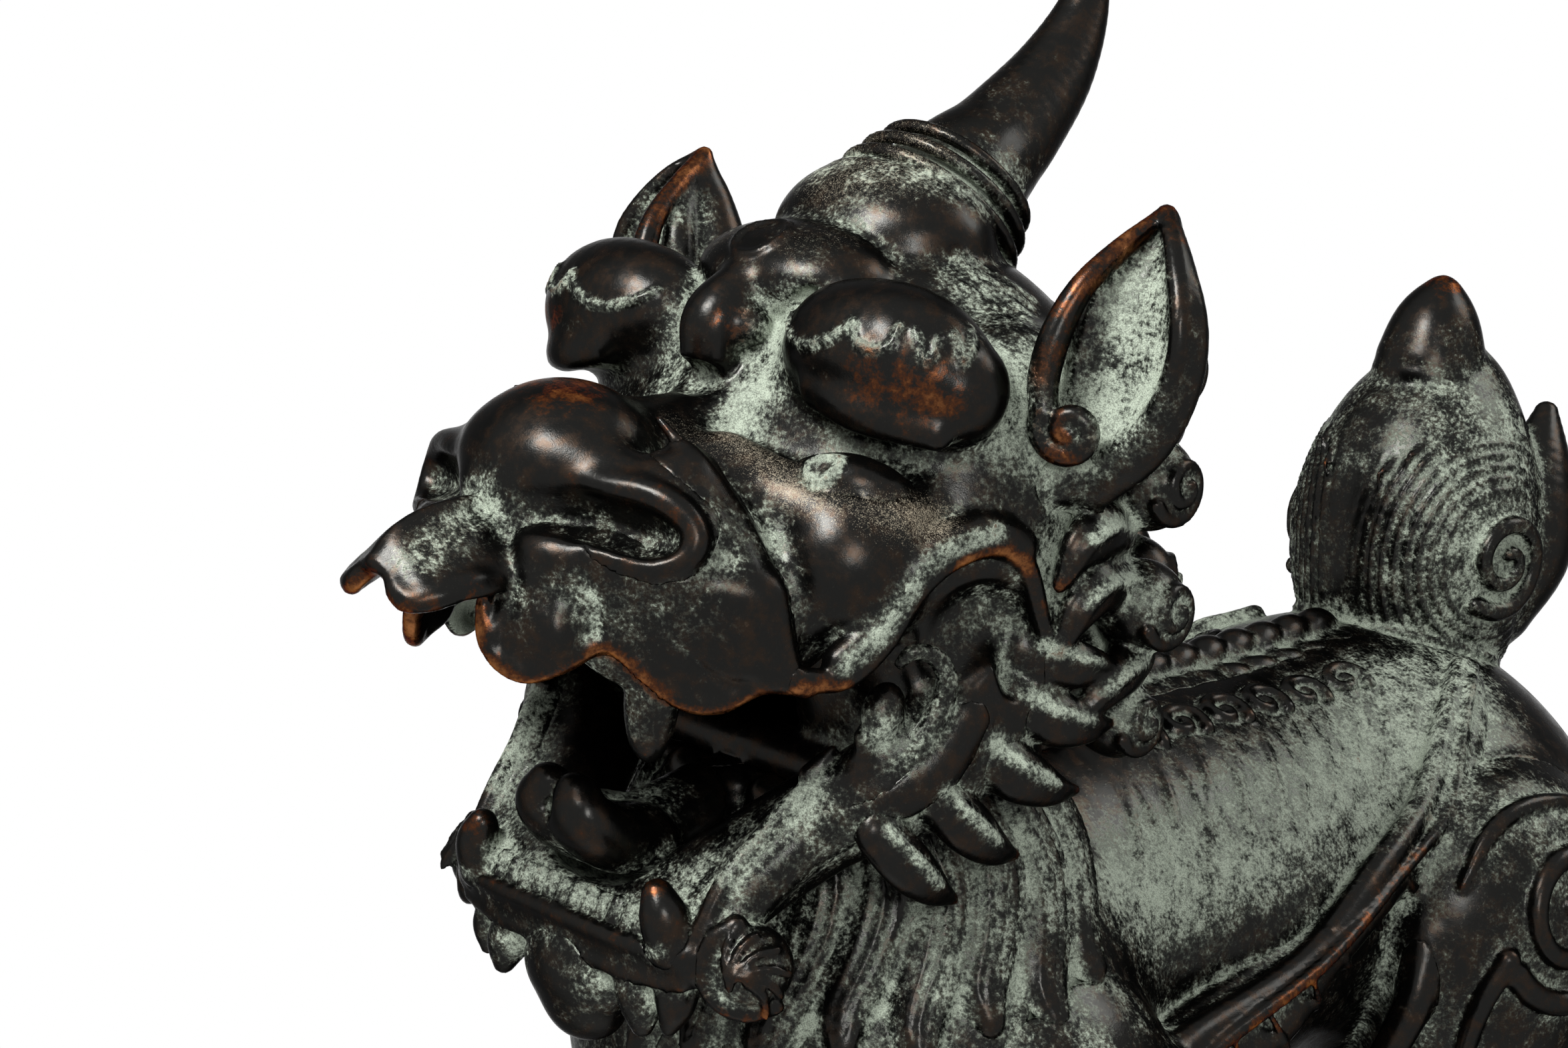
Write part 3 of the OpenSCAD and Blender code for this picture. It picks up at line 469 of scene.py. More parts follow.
def cheek(c):
    # the apple of the cheek and the shelf under the eye
    c.blob((28, -24, -4), (7, 7, 9), 3.0)
    c.blob((31, -15.2, 2), (11.6, 11.6, 12), 3.0)
    c.tube([(14, -23, 14, 5), (24, -20.4, 10.6, 5.4), (36, -11, 7.6, 5.4)], k=4)
    # the flat of the jaw, which runs up to the ear
    c.tube(drawn_in([(28, -34, -46, 5), (32, -29, -39.5, 6.4), (36, -20.5, -33, 7.6), (39, -9.5, -27.6, 9.6),
                     (41, 1, -21, 10.6), (42, 8, -10, 9), (42.5, 10, 2, 6.5)]), k=2.0, flat=((1, -0.15, 0), 0.42))
    # the pocket behind the corner of the mouth, with its leaf
    c.tube([(44.6, -23, -19, 4.6), (44.6, -13, -14, 6.4), (45, -3, -7, 6.4), (45.4, 3, -8.4, 4.8),
            (45.8, 4.6, -15, 3.4)], k=1.5, carve=True)
    c.blob((38.6, -15.4, -17.9), (3.0, 3.3, 4.4), 0.6, along=(1, 0.2, 0), up=(0, 0.5, 1))
    c.tube([(37.8, -18.2, -21.0, 1.5), (37.6, -18.2, -24.4, 1.4), (37.4, -19, -27, 1.2)], k=0.8)
    c.tube(drawn_in([(35.6, -26.4, -26, 1.6), (36.2, -24.6, -24.2, 1.2), (36.6, -22.8, -22.6, 0.7)]), k=0.6)
    # edges of the muzzle and of the smiling mouth
    c.tube(RIDGE, k=1.6)
    c.tube([(x + 2.8, y + 3.2, z + 0.4, 0.8 + 0.7 * r) for x, y, z, r in RIDGE[1:6]], k=1.2, carve=True)
    c.tube([(x - 0.2, y - 0.4, z + 2.2, r + 0.9) for x, y, z, r in SMILE[1:7]], k=1.6)
    c.tube([(x + 0.4, y, z, r + 0.15) for x, y, z, r in SMILE], k=0.7)
    c.piece("lip_frill")
    c.tube(HEM, k=1.4)
    c.tube(LEAF_EDGE, k=1.4)
    # veins of the lobes
    for line in ([(18, -50, 4, 0.5), (20, -50.6, 0, 0.8), (20.4, -51.2, -4, 1.0)],
                 [(26, -44.6, 0.5, 0.5), (27, -43.4, -4.2, 0.8), (29, -40.6, -8.8, 0.8), (31.4, -37.2, -11.3, 0.5)],
                 [(11, -56, 3, 0.5), (11.4, -58.4, 0, 0.7), (11.2, -60.4, -4, 0.6)]):
        c.tube(c.onto(line, 0.3), k=0.8, carve=True)


def jaw(c):
    # the jaw: a tray with a broad gum and a raised rim that runs up into the pocket of the cheek
    c.piece("lower_jaw")
    c.tube(drawn_in([(25, -37.6, -51.4, 4.4), (29, -35.4, -45.5, 4.6), (32.5, -31.4, -39.5, 4.6), (36, -25.5, -34.2, 4.6),
                     (39, -17.5, -30.4, 4.6), (41, -9, -27, 4.2), (42.4, -3, -20, 3.4)]), k=1.5)
    c.tube(drawn_in([(22, -36, -48, 5), (25, -32, -43, 5.6), (28, -27, -38.4, 6), (31, -20, -33.8, 6.4),
                     (34, -12, -30, 6.4)]), k=3)
    c.tube([(13, -34, -49, 5), (16, -29, -45, 6), (20, -22.6, -41, 6), (25, -15, -36.6, 6)], k=3)
    c.tube([(0, -34, -52, 8), (18, -34, -51.5, 7)], k=3)
    c.tube([(0, -40.4, -53.6, 3.6), (15, -40, -53.6, 3.6), (25.4, -38.6, -52.8, 3.6)], k=1.5)
    c.tube(JAW_RIM, k=1.0)
    c.tube([(0, -43.2, -51.4, 1.3), (15, -42.8, -51.6, 1.3), (25.4, -41.4, -51.2, 1.4), (27.2, -39.2, -50.2, 1.4)], k=0.9)
    c.tube([(0, -43.0, -56.0, 1.2), (15, -42.6, -56.2, 1.2), (25, -40.8, -55.6, 1.2)], k=0.9)
    c.blob((0, -31, -44.6), (12, 9, 5), 2.0, carve=True)


def mouth(c):
    c.piece("tongue")
    c.tube([(0, -12, -39, 7), (0, -26, -42, 7.4), (0, -34, -41.5, 6.6), (0, -39.4, -38.4, 5.4)], k=2,
           flat=((0, 0.4, 1), 0.7))
    for x in (2.6, 5.6):
        c.tube([(x, -32, -41.4, 5), (x * 1.05, -38.4, -39, 4.6), (x, -42, -35.6, 3.8), (x * 0.8, -42, -32.4, 2.6)], k=2.0)
    c.tube([(0, -26, -36.4, 0.7), (0, -36, -35.8, 0.8), (0, -45.5, -34.4, 1.0)], k=1.4, carve=True)
    c.piece("upper_fangs")
    c.tube([(21, -41, -9, 4.2), (20.8, -42.2, -15, 4.0), (20.4, -42.4, -19.6, 3.2), (20.2, -42.4, -22, 2.0)], k=1.0)
    c.tube([(15, -49.5, -6, 2.6), (18.4, -46.4, -8.6, 3.2), (22, -42.6, -11, 3.0), (27, -38, -12.4, 2.4)], k=1.5)
    c.piece("lower_teeth")
    c.tube([(22.4, -40, -50.4, 4.2), (22, -41.4, -46.4, 3.6), (20.8, -41.6, -43.2, 2.4)], k=0.8)
    c.tube([(0, -39.2, -50, 3.0), (18, -38.8, -49.8, 3.0)], k=1.0)
    for i in range(6):
        x = 1.5 + 3.0 * i
        c.tube([(x, -41.8, -50.6, 1.2), (x, -40.6, -47.4 + 0.3 * (i % 2), 0.9)], k=0.7)


def beard(c):
    # one broad tuft below the chin, small ones beside it, and a curl at each corner of the jaw
    c.piece("beard")
    c.blob((0, -39.4, -60), (10.8, 6.6, 8.4), 1.0)
    c.blob((0, -38.6, -66), (7.4, 5.4, 5.6), 2.0)
    c.tube([(13, -38.6, -56.5, 4.2), (15.6, -40.6, -60, 3.6), (16.6, -41.2, -64, 1.8)], k=1.0)
    c.tube([(20, -37.6, -56, 3.8), (22, -39.4, -59.4, 3.0), (21.6, -40.4, -63, 1.4)], k=1.0)
    hub = np.array((31.4, -33.6, -52.8))
    out, up = unit((0.74, -0.66, 0.1)), unit((0.0, 0.15, 1.0))
    side = unit(np.cross(up, out))
    c.blob(hub, (6.2, 5.4, 6.2), 1.0, along=side, up=up)
    band = hub + out * 1.5
    c.tube([(*(band + 6.4 * (math.cos(a) * side + math.sin(a) * up)), 1.9 - 0.12 * i)
            for i, a in enumerate(np.radians((115, 150, 190, 230, 270, 310)))], k=0.8)
    for i in range(6):
        a = math.radians(-50 + 32 * i)
        line = []
        for t in np.linspace(0, 1, 5):
            turn = a + 0.9 * (1 - t)
            far = 1.0 + 5.2 * t
            p = hub - 1.2 * (side + up) + far * (math.cos(turn) * side + math.sin(turn) * up)
            line.append((*(p + out * (5.3 * math.sqrt(max(1.03 - (far / 7.2) ** 2, 0.05)))), 0.7))
        c.tube(c.onto(line, 0.25), k=0.4, count=3)


def ears(c):
    c.piece("ear")
    face = (0.2, -0.97, 0.05)
    c.tube([(46, 16, 14, 7), (51, 17.6, 23, 10.4), (53.4, 19, 32, 10.8), (53, 22, 40.5, 7.0),
            (51, 26.8, 48.4, 2.0)], k=1.5, flat=(face, 0.46))
    c.tube([(43, 24, 18, 6), (44.5, 25, 27, 6), (46.5, 26, 35, 5), (49, 27, 42, 3.4), (50.4, 27.2, 47, 1.6)], k=2.5)
    c.tube([(50, 11.4, 20, 4.6), (53.6, 12, 25.6, 7.8), (54.8, 13, 33, 8.4), (53.6, 17.2, 41, 5.0),
            (51.4, 24.6, 47.2, 1.0)], k=0.8, carve=True, flat=(face, 0.62))
    c.tube([(50.6, 27, 49.3, 1.1), (49, 20, 45.2, 1.6), (47.4, 13.4, 39.8, 2.0), (46.0, 9.8, 33.2, 2.4),
            (45.4, 8.2, 27, 2.4), (46.0, 7.8, 22.8, 2.2)], k=0.8)
    c.tube([(50.6, 27, 49.3, 1.1), (56, 22.8, 44.8, 1.4), (61, 18.6, 37.5, 1.5), (61.2, 17.4, 29.5, 1.6),
            (57, 16.6, 21, 1.6), (51, 14.5, 16, 1.7)], k=0.8)
    c.tube(spiral((49.6, 9.2, 20.6), 4.4, 1.35, (0.5, -0.85, 0), (-0.9, -0.3, 0.5), 1.0, (2.0, 1.5)), k=0.5)


def horn(c):
    # horn and the steps round its foot
    c.piece("horn")
    c.tube([(0, 30, 43, 13), (0, 36.5, 49, 10.5), (0, 42, 52.6, 9), (0, 47, 56.2, 8.2), (0, 55.5, 63.6, 6.6),
            (0, 61.6, 72, 4.6), (0, 64.4, 80, 2.8), (0, 65, 84, 1.5)], k=1.0)
    for y, z, r in ((26.4, 41.6, 15.4), (29.2, 44.0, 14.8), (32.0, 46.4, 13.8), (34.8, 48.8, 12.4)):
        c.tube(ring((0, y, z), (0, 0.72, 0.69), r, 1.2), k=0.5, count=2)


def leaf(c, points, ridge=0.55):
    """A flame-shaped tuft: flattened, with a raised rib along its outer face."""
    c.tube(points, k=0.8, flat=((1, 0, 0), 0.7))
    c.tube([(x + 0.62 * r, y, z + 0.25 * r, ridge + 0.12 * r) for x, y, z, r in points], k=0.7)


def mane(c):
    # tufts behind the cheek, each a flame with its point to the back or hooked forward
    c.piece("mane")
    c.tube([(34, 24, -4, 7), (34.5, 27, -15, 7), (33, 28, -26, 6)], k=2)
    for points in TUFTS:
        leaf(c, points)
    # round curls at the edge of the mane
    for x, y, z, r in ((45.6, 30, 9.5, 7.2), (45, 29.6, -9, 7.2), (42.6, 27.6, -26, 6.2), (44.6, 32.6, 26, 6.4)):
        c.blob((x, y, z), (r, r, r), 0.8)
        c.tube(spiral((x + r * 0.72, y + 0.5, z), r * 0.72, 1.6, (1, 0.1, 0), (0, -1, -0.4), r * 0.3, (1.3, 1.0)), k=0.4)
    # rows of curls over the nape
    for z, far in ((22, 42), (6, 44), (-10, 43)):
        c.blob((32.5, far - 1.5, z), (7.6, 6.6, 7.8), 0.8)
        c.tube(spiral((35.5, far + 2.6, z), 5.2, 1.6, (0.7, 0.7, 0), (0.4, 0, -1), 2.0, (1.3, 1.0)), k=0.4)
    c.piece("nape_mane")
    for z, far in ((22, 50.3), (6, 52.7), (-10, 52.4)):
        for x in (0, 16.3):
            c.blob((x, far, z), (8.6, 7.4, 8.4), 0.8)
            c.tube(spiral((x, far + 6.2, z), 5.2, 1.6, (x * 0.02, 1, 0), (0.5, 0, -1), 2.0, (1.3, 1.0)), k=0.4)


def lines(c):
    """Chased lines: scallops on the brows, hair on the temples, the worn ring on the boss."""
    c.piece("head_shell")
    for line in (
        [(15, -12, 35), (17.6, -14.5, 33.2), (22.9, -16.6, 32.0), (27.4, -16.8, 33.1), (30.8, -15.8, 35.0)],
        [(31.6, -15.4, 36.4), (33.7, -15.9, 33.3), (36.2, -15.4, 32.8), (38.1, -14.0, 33.6), (38.2, -12.6, 36.2)],
        [(40.0, -11.1, 35.6), (41.6, -11.6, 32.6), (42.3, -11.4, 31.4), (42.6, -10.2, 32.6), (42.6, -9.1, 34.8)],
        [(42.8, -6.7, 34.9), (44.6, -7.3, 31.8), (45.2, -7, 31.4), (44.6, -5, 33), (42.4, -3, 35.4)],
    ):
        c.brush("green", c.onto([(*p, 0.55) for p in line], 0), 0.8, 0.3, 0.95)
        c.tube(c.onto([(*p, 0.55) for p in line], 0.1), k=0.4)
    for line in (
        [(21.0, 11.8, 38.2), (24.9, 13.6, 36.4), (29.8, 14.4, 34.3), (36.9, 12.9, 32.3)],
        [(20.4, 13.1, 38.8), (24.2, 15.0, 37.0), (28.4, 16.4, 34.8), (35.5, 14.7, 32.9)],
        [(19.8, 14.4, 39.4), (23.3, 16.5, 37.7), (27.0, 18.3, 35.4), (32.8, 18.0, 33.1)],
        [(19.4, 15.7, 40.1), (22.6, 17.8, 38.3), (25.8, 20.1, 35.9), (29.6, 21.6, 33.4)],
        [(19.3, 16.9, 40.7), (22.1, 19.2, 38.9), (24.6, 22.0, 36.4), (27.6, 24.2, 33.7)],
        [(19.4, 18.3, 41.4), (21.0, 21.2, 39.4), (23.2, 24.0, 37.0), (26.0, 26.4, 34.3)],
    ):
        c.brush("green", c.onto([(*p, 0.4) for p in line], 0), 0.9, 0.2, 0.7)
        c.tube(c.onto([(*p, 0.4) for p in line], 0.0), k=0.3)
    c.tube(c.onto(ring((0, -4.2, 43.4), (0, -0.5, 0.87), 4.2, 0.7)), k=0.5, count=2)


def rooms(c):
    # rooms that stay free: the hollow head, the neck with its hair, and the hinge
    x, y, z = c.grid()
    room = np.maximum(np.maximum(np.abs(x) - 21, np.abs(y - 16) - 17.6), np.abs(z - 5) - 19.6)
    foot = np.maximum(np.maximum(np.abs(x) - 14.8, np.abs(y - 16) - 14.8), np.abs(z + 24.7) - 15)
    c.cut_away(np.minimum(room, foot))
    wide = 31.7 + np.clip(SEAM - z, 0, 40) / 40 * 16.5
    c.cut_away(np.maximum((np.sqrt((x / 1.12) ** 2 + (y - 16) ** 2) - wide) * 0.92, z - SEAM))
    pin = np.sqrt((y - 49.5) ** 2 + (z + 31.2) ** 2)
    c.cut_away(np.maximum(pin - 5.6, x - 15.4))
    c.cut_away(np.maximum(47.4 - y, z + 31.2) + 0 * x)
    c.cut_away(np.maximum(np.maximum(43 - y, z + 31.2), x - 14))


def patina_and_painted_highlights(c):
    """Where hands have rubbed the bronze, where it has gone green, where the lit upper faces of the smile and the tufts
    are painted pale green as highlights, and where dust lies.
    """
    for line, soft, r, amount in (
        ([(x, y, z - 0.8) for x, y, z, _ in HEM], 1.3, 0.5, 0.72), ([(x, y, z - 0.8) for x, y, z, _ in LEAF_EDGE], 1.3, 0.5, 0.68),
        (RIDGE[3:], 1.0, 0.4, 0.8), (WING[:5], 1.2, 0.5, 0.6),
        (c.onto([(x + 2, y, z - 0.6, 1) for x, y, z, _ in SMILE[4:7]], 0), 1.1, 0.3, 0.7),
        (c.onto([(x + 1, y - 1, z - 0.6, 1) for x, y, z, _ in SMILE[:2]], 0), 1.2, 0.3, 0.62),
        ([(0, -37, 26.6), (4, -43, 26.2)], 5.0, 1.0, 0.66),
        ([(50.6, 27, 49.3), (49, 20, 45.2), (47.4, 13.4, 39.8), (46, 9.8, 33.2), (45.4, 8.2, 27)], 1.4, 0.8, 0.82),
        ([(50.6, 27, 49.3), (56, 22.8, 44.8), (57, 22, 43)], 1.2, 0.8, 0.45),
        ([(36, -15, 29), (43, -10, 27)], 4.0, 1.0, 0.55), ([(20.4, -44, -20), (20.2, -43, -22)], 2.0, 0.5, 0.3),
        ([(21, -42.6, -43.4), (20.8, -42, -43)], 1.8, 0.5, 0.45), ([(3, -14, 33), (4, -13, 31)], 2.5, 0.5, 0.55),
        ([(46, 9, 22), (50, 6, 18)], 3.0, 1.0, 0.6), ([(26, -41, -51), (14, -42.4, -51.4)], 1.2, 0.4, 0.4),
        ([(31, -40, -58), (36, -34, -58)], 2.0, 0.5, 0.4), ([(0, 64.4, 80), (0, 65, 84)], 4.0, 1.0, 0.5),
    ):
        c.brush("rub", line, soft, r, amount)
    for x, y, z, r in [row[-1] for row in TUFTS]:
        c.brush("rub", [(x, y, z), (x, y - 0.5, z - 0.5)], 2.0, 0.8, 0.5)
    for line, soft, r, amount in (
        ([(9, -2, 38), (10, -12, 29), (10, -18, 21)], 4.0, 1.5, 0.8), ([(38, 4, 30), (44, 8, 16), (42, 12, 30)], 6.0, 2.0, 0.7),
        # pale green on the upper face of the smiling band: partly verdigris, partly a painted highlight where light
        # falls from above
        (c.onto([(x + 1.5, y - 0.8, z + 2.2, 1) for x, y, z, _ in SMILE[1:6]], 0), 2.2, 0.4, 0.9),
        ([(15, -49.5, -7), (22, -42.6, -12), (28, -37, -14)], 2.4, 1.0, 0.9), ([(21, -42, -12), (20.6, -43, -18)], 3.0, 2.0, 0.7),
        ([(2, -55, 12), (4, -62, 10), (5, -69, 6)], 4.0, 1.0, 0.62), ([(31, -35, 8), (26, -42, 0), (17, -50, 0)], 6.0, 2.0, 0.5),
        ([(52, 14, 22), (55, 15, 30), (53, 18, 40)], 5.0, 3.0, 0.75), (JAW_RIM[2:], 2.2, 1.2, 0.8),
        ([(26, -33, -42), (32, -22, -34), (37, -10, -27)], 5.0, 2.0, 0.5), ([(38.6, -15.4, -18), (39.5, -17, -20)], 3.0, 1.5, 0.85),
        ([(6, 14, 52), (12, 24, 50), (12, 32, 49)], 6.0, 2.0, 0.6), ([(0, -15, 30), (0, -17, 25)], 4.0, 1.0, 0.5),
        ([(0, -37, -37), (0, -28, -38)], 6.0, 2.0, 0.7), ([(2, -42, -47), (18, -41, -47)], 2.6, 1.0, 0.75),
        ([(6, -36, -44), (20, -34, -43), (24, -26, -38)], 4.0, 1.0, 0.6), ([(30, -37, -56), (34, -33, -52)], 3.0, 1.0, 0.6),
        ([(8, -44, -60), (18, -42, -62)], 4.0, 1.0, 0.5), ([(24, -44, -50), (14, -46, -54), (0, -47, -54)], 1.6, 0.4, 0.7), ([(24, 14, 38), (34, 14, 34)], 5.0, 2.0, 0.5),
        ([(24, -14, 23), (36, -13, 21.5), (43, -8, 20)], 1.6, 0.6, 0.8), ([(44, 10, 4), (45, 12, -8)], 5.0, 2.0, 0.45),
    ):
        c.brush("green", line, soft, r, amount)
    for z, far in ((22, 50.3), (6, 52.7), (-10, 52.4)):
        for x in (0, 16.3):
            c.brush("green", c.onto(spiral((x, far + 8, z), 5.2, 1.6, (x * 0.02, 1, 0), (0.5, 0, -1), 2.0, (1, 1)), 0), 0.9, 0.3, 0.75)
        c.brush("green", c.onto(spiral((36, far - 4, z), 5.2, 1.6, (0.7, 0.7, 0), (0.4, 0, -1), 2.0, (1, 1)), 0), 0.9, 0.3, 0.75)
    for x, y, z, r in ((45.6, 30, 9.5, 7.2), (45, 29.6, -9, 7.2), (42.6, 27.6, -26, 6.2), (44.6, 32.6, 26, 6.4)):
        c.brush("green", [(x + 0.8 * r, y - 0.4 * r, z + 0.4 * r), (x + 0.9 * r, y + 0.2 * r, z)], 3.5, 1.0, 0.6)
    # pale green along the upper outer face of each tuft: partly verdigris, partly a painted highlight on the lit side
    for row in TUFTS:
        c.brush("green", c.onto([(x + r, y - 0.2 * r, z + 0.5 * r, r) for x, y, z, r in row[:-1]], 0), 1.3, 0.4, 0.92)
    for line, soft, r, amount in (
        ([(15, -23, 17), (25, -21.6, 13), (36, -17, 9.4), (42, -9, 9)], 5.0, 0.5, 0.8),
        ([(0, 10, 52), (8, 18, 53), (0, 26, 53)], 8.0, 2.0, 0.6), ([(10, -26, 22), (18, -30, 20)], 6.0, 1.0, 0.6),
        ([(4, -62, 10), (5, -68, 7)], 5.0, 1.0, 0.5), ([(8, -4, 44), (10, 2, 45)], 6.0, 1.0, 0.45),
    ):
        c.brush("dust", line, soft, r, amount)


# The body, in the frame of the whole part: floor at zero, tail towards +Y


NECK_Y = -36.848


def sculpt_body(step):
    c = Clay((0, -92, -3), (66, 136, 190), step)
    trunk(c)
    wing(c)
    legs(c)
    ruff(c)
    crest(c)
    tail(c)
    trunk_rooms(c)
    body_patina(c)
    c.finish()
    return c


def trunk(c):
    # chest, waist and rump
    c.piece("torso_shell")
    c.tube([(0, -41, 72, 40), (0, -30, 74, 41.5), (0, 4, 79, 36), (0, 44, 79, 36), (0, 80, 74, 41.5),
            (0, 88, 70, 37)], k=0)
    c.blob((0, -38, 72), (50, 42, 41), 6)
    c.blob((0, 82, 73), (52.5, 42, 41.5), 6)
    c.blob((0, 24, 79), (42, 60, 35.5), 6)
    # folds where the flank meets the haunch
    c.tube([(44, 50, 76, 2.6), (45.5, 46, 66, 3.2), (42, 42, 54, 2.8)], k=3)
    # wavy hair on the flank, from the spine down to the wing
    for i in range(26):
        y = -2 + 3.1 * i
        line = []
        for t in np.linspace(0, 1, 6):
            z = 113 - (26 - 0.62 * i) * t
            wide = 42 * math.sqrt(max(1 - ((z - 79) / 36.5) ** 2, 0.1))
            line.append((wide, y - 13 * t + 1.6 * math.sin(5 * t + 2.3 * i), z, 0.66 - 0.3 * abs(2 * t - 1)))
        c.tube(c.onto(line, -0.38), k=0.6, count=3)


WING_RIM = [(51, -26, 68), (52, -12, 74), (48, 16, 81.5), (43, 38, 90), (38, 56, 97.5), (29.5, 74, 106.5), (23.5, 84, 111.5)]


def wing(c):
    # a plate of long feathers under a rounded rim
    c.piece("wing")
    for k in range(4):
        drop = 6.6 * (k + 0.8)
        row = [(x + 1.5, y - 0.25 * drop * (1 - i / 7), z - drop * (1 - i / 7.2), 4.6 - 0.42 * i)
               for i, (x, y, z) in enumerate(WING_RIM)]
        c.tube(c.onto(row, -1.4), k=0.7)
    c.tube(c.onto([(*p, 3.2 - 0.2 * i) for i, p in enumerate(WING_RIM)], 0.6), k=1.0)
    c.tube(c.onto([(x, y + 1.2, z - 1.6, 1.3 - 0.06 * i) for i, (x, y, z) in enumerate(WING_RIM)], 0.7), k=0.5)
    # veins of the feathers
    for i in range(7):
        y = -4 + 9 * i
        z = 70 + 4.4 * i
        c.tube(c.onto([(52 - 2.2 * i, y, z, 0.5), (51 - 2 * i, y + 5, z - 6, 0.7), (50 - 1.8 * i, y + 8, z - 13 + i, 0.4)], 0.1), k=0.4)
    # the scroll at its root
    c.blob((51, -22, 66), (5, 11, 11), 2)
    c.tube(c.onto(spiral((56, -22, 66), 9, 1.8, (1, -0.1, 0.1), (0, 0.6, 0.8), 0.5, (1.9, 1.4)), 0.3), k=0.6)


def legs(c):
    for name, y, chain in (
        ("front_leg", -37.85, [(36, -36, 68, 24), (39, -32, 50, 19), (40, -35, 30, 15), (40, -37, 16, 15.5)]),
        ("rear_leg", 90.15, [(37.5, 76, 68, 25), (40, 71, 48, 20), (40, 97, 29, 14.5), (40, 94, 16, 15.5)]),
    ):
        c.piece(name)
        c.tube(chain, k=2.0, flat=((1, 0, 0), 0.86))
        c.tube([(40, y + 8, 8, 10.5), (40, y - 12, 8, 10.5)], k=3, flat=((0, 0, 1), 0.9))
        for i in (-1.5, -0.5, 0.5, 1.5):
            x = 40 + i * 8.6
            c.tube([(40 + i * 7, y - 8, 11, 5.6), (x, y - 19, 8.6, 5.6), (x, y - 24 + abs(i) * 1.6, 4.6, 4.4)], k=1.2)
            c.tube([(x, y - 23 + abs(i) * 1.6, 7.6, 2.2), (x, y - 28 + abs(i) * 1.6, 4.4, 1.4),
                    (x, y - 29 + abs(i) * 1.6, 1.2, 0.8)], k=0.6)
    # haunch with its scroll, shoulder, and tufts behind the joints
    c.piece("rear_leg")
    c.blob((40, 74, 70), (19.5, 28, 30), 3)
    c.tube(c.onto(spiral((58, 71, 78), 15.5, 1.75, (1, 0, 0.1), (0, -0.9, -0.5), 0.5, (2.3, 1.5), 40), 0.4), k=0.7)
    c.tube(c.onto([(57, 56, 74, 2.2), (56, 52, 66, 2.0), (54, 50, 57, 1.7), (52, 52, 49, 0.9)], 0.3), k=0.7)
    c.tube(c.onto([(50, 52, 86, 0.9), (51, 57, 94, 1.5), (51, 66, 97.5, 1.6), (51, 78, 95, 1.5), (50, 88, 88, 0.8)], 0.2), k=0.7)
    for t in ([(52, 90, 44, 4), (52, 100, 46, 4.4), (49, 108, 52, 3.2), (46, 113, 60, 1.2)],
              [(50, 101, 32, 4), (50, 109, 36, 4), (47, 115, 43, 1.4)]):
        c.tube(t, k=1.0)
    c.piece("front_leg")
    c.blob((40, -34, 66), (16, 22, 22), 3)
    for t in ([(52, -22, 46, 4), (52, -12, 46, 4.4), (49, -5, 51, 3.2), (46, -1, 58, 1.2)],
              [(50, -20, 32, 4), (50, -12, 33, 4), (47, -6, 39, 1.4)]):
        c.tube(t, k=1.0)


def ruff(c):
    # hair down the neck and over the chest: broad wavy locks, each drawn with finer strands
    c.piece("hair_ruff")
    fine = []
    for i in range(8):
        a = math.radians(270 + 108 * (i + 0.25) / 7.6)
        drop = 40 - 11 * (i / 7) - 3 * (i % 2)
        pts = []
        for t, r in ((0.02, 4.5), (0.3, 6.5), (0.62, 7.0), (0.85, 5.2), (1.0, 2.2)):
            z = 116 - drop * t
            far = 30.5 + 16.5 * (119 - z) / 40 - r
            b = a + 0.09 * math.sin(5 * t)
            pts.append((1.12 * far * math.cos(b), NECK_Y + far * math.sin(b), z, r))
        c.tube(pts, k=0.7)
        for k in (-1.5, -0.5, 0.5, 1.5):
            strand = []
            for t in (0.06, 0.3, 0.55, 0.8, 0.97):
                z = 116 - drop * t
                far = 30.5 + 16.5 * (119 - z) / 40 - 0.8
                b = a + 0.09 * math.sin(5 * t) + k * 0.058 * (1 - 0.85 * t ** 4)
                strand.append((1.12 * far * math.cos(b), NECK_Y + far * math.sin(b), z, 0.6))
            fine.append(strand)
    for strand in fine:
        c.tube(c.onto(strand, -0.2), k=0.35, count=4)


def crest(c):
    # curls along the spine
    c.piece("spine_crest")
    for i in range(8):
        y = 22.65 + i * 7.2
        c.tube([(0, y - 4, 114, 4.4), (0, y, 116.4, 3.4), (0, y + 4.5, 115, 2)], k=0.6)
        c.tube([(4.5, y - 3, 113, 3), (6.0, y + 1, 113.5, 2.4), (6.0, y + 5, 112.5, 1.2)], k=0.6)
    for i in range(6):
        y = 8 + i * 10.5
        c.tube(c.onto(spiral((17, y, 113), 4.4, 1.2, (0.45, 0, 0.9), (0.5, 0.6, 0), 0.4, (1.5, 1.1), 22), 0.1), k=0.5)


def tail(c):
    # a bulb of combed hair drawn up to a point, with a scroll on each side
    c.piece("tail")
    c.tube([(0, 97, 106, 13), (0, 99.5, 118, 20), (0, 101, 130, 22.6), (0, 102.5, 141, 19.6), (0, 105.5, 150, 14.5),
            (0, 106, 155, 11)], k=1.0)
    c.tube([(0, 102.5, 159, 10.4), (0, 103.6, 166, 8.2), (0, 105, 171.5, 4.6), (0, 105.4, 174, 2.4)], k=0.8)
    c.tube([(10, 108, 118, 10), (13, 114, 128, 10), (12.5, 119, 140, 6.5), (10.5, 124, 150, 2.4)], k=1.0)
    middle = np.array((0, 101, 130.0))
    aim = unit((21.5, -3.5, -1.5))
    side = unit(np.cross((0, 0, 1), aim))
    up = np.cross(aim, side)
    for i in range(14):
        turn = math.radians(32 + 5.4 * i)
        line = []
        for a in np.radians(np.linspace(60, 290, 17)):
            d = math.cos(turn) * aim + math.sin(turn) * (math.cos(a) * side + math.sin(a) * up)
            p = middle + 22.6 * d
            if d[0] > 0.06 and p[2] < 148:
                line.append((*p, 0.62 * min(1, d[0] / 0.3)))
        if len(line) > 4:
            c.tube(c.onto(line, -0.1), k=0.35, count=2)
    c.tube(c.onto(spiral(middle + 22.4 * aim, 9.6, 1.6, aim, (0, -0.6, -0.8), 1.0, (1.9, 1.3)), 0.6), k=0.5)


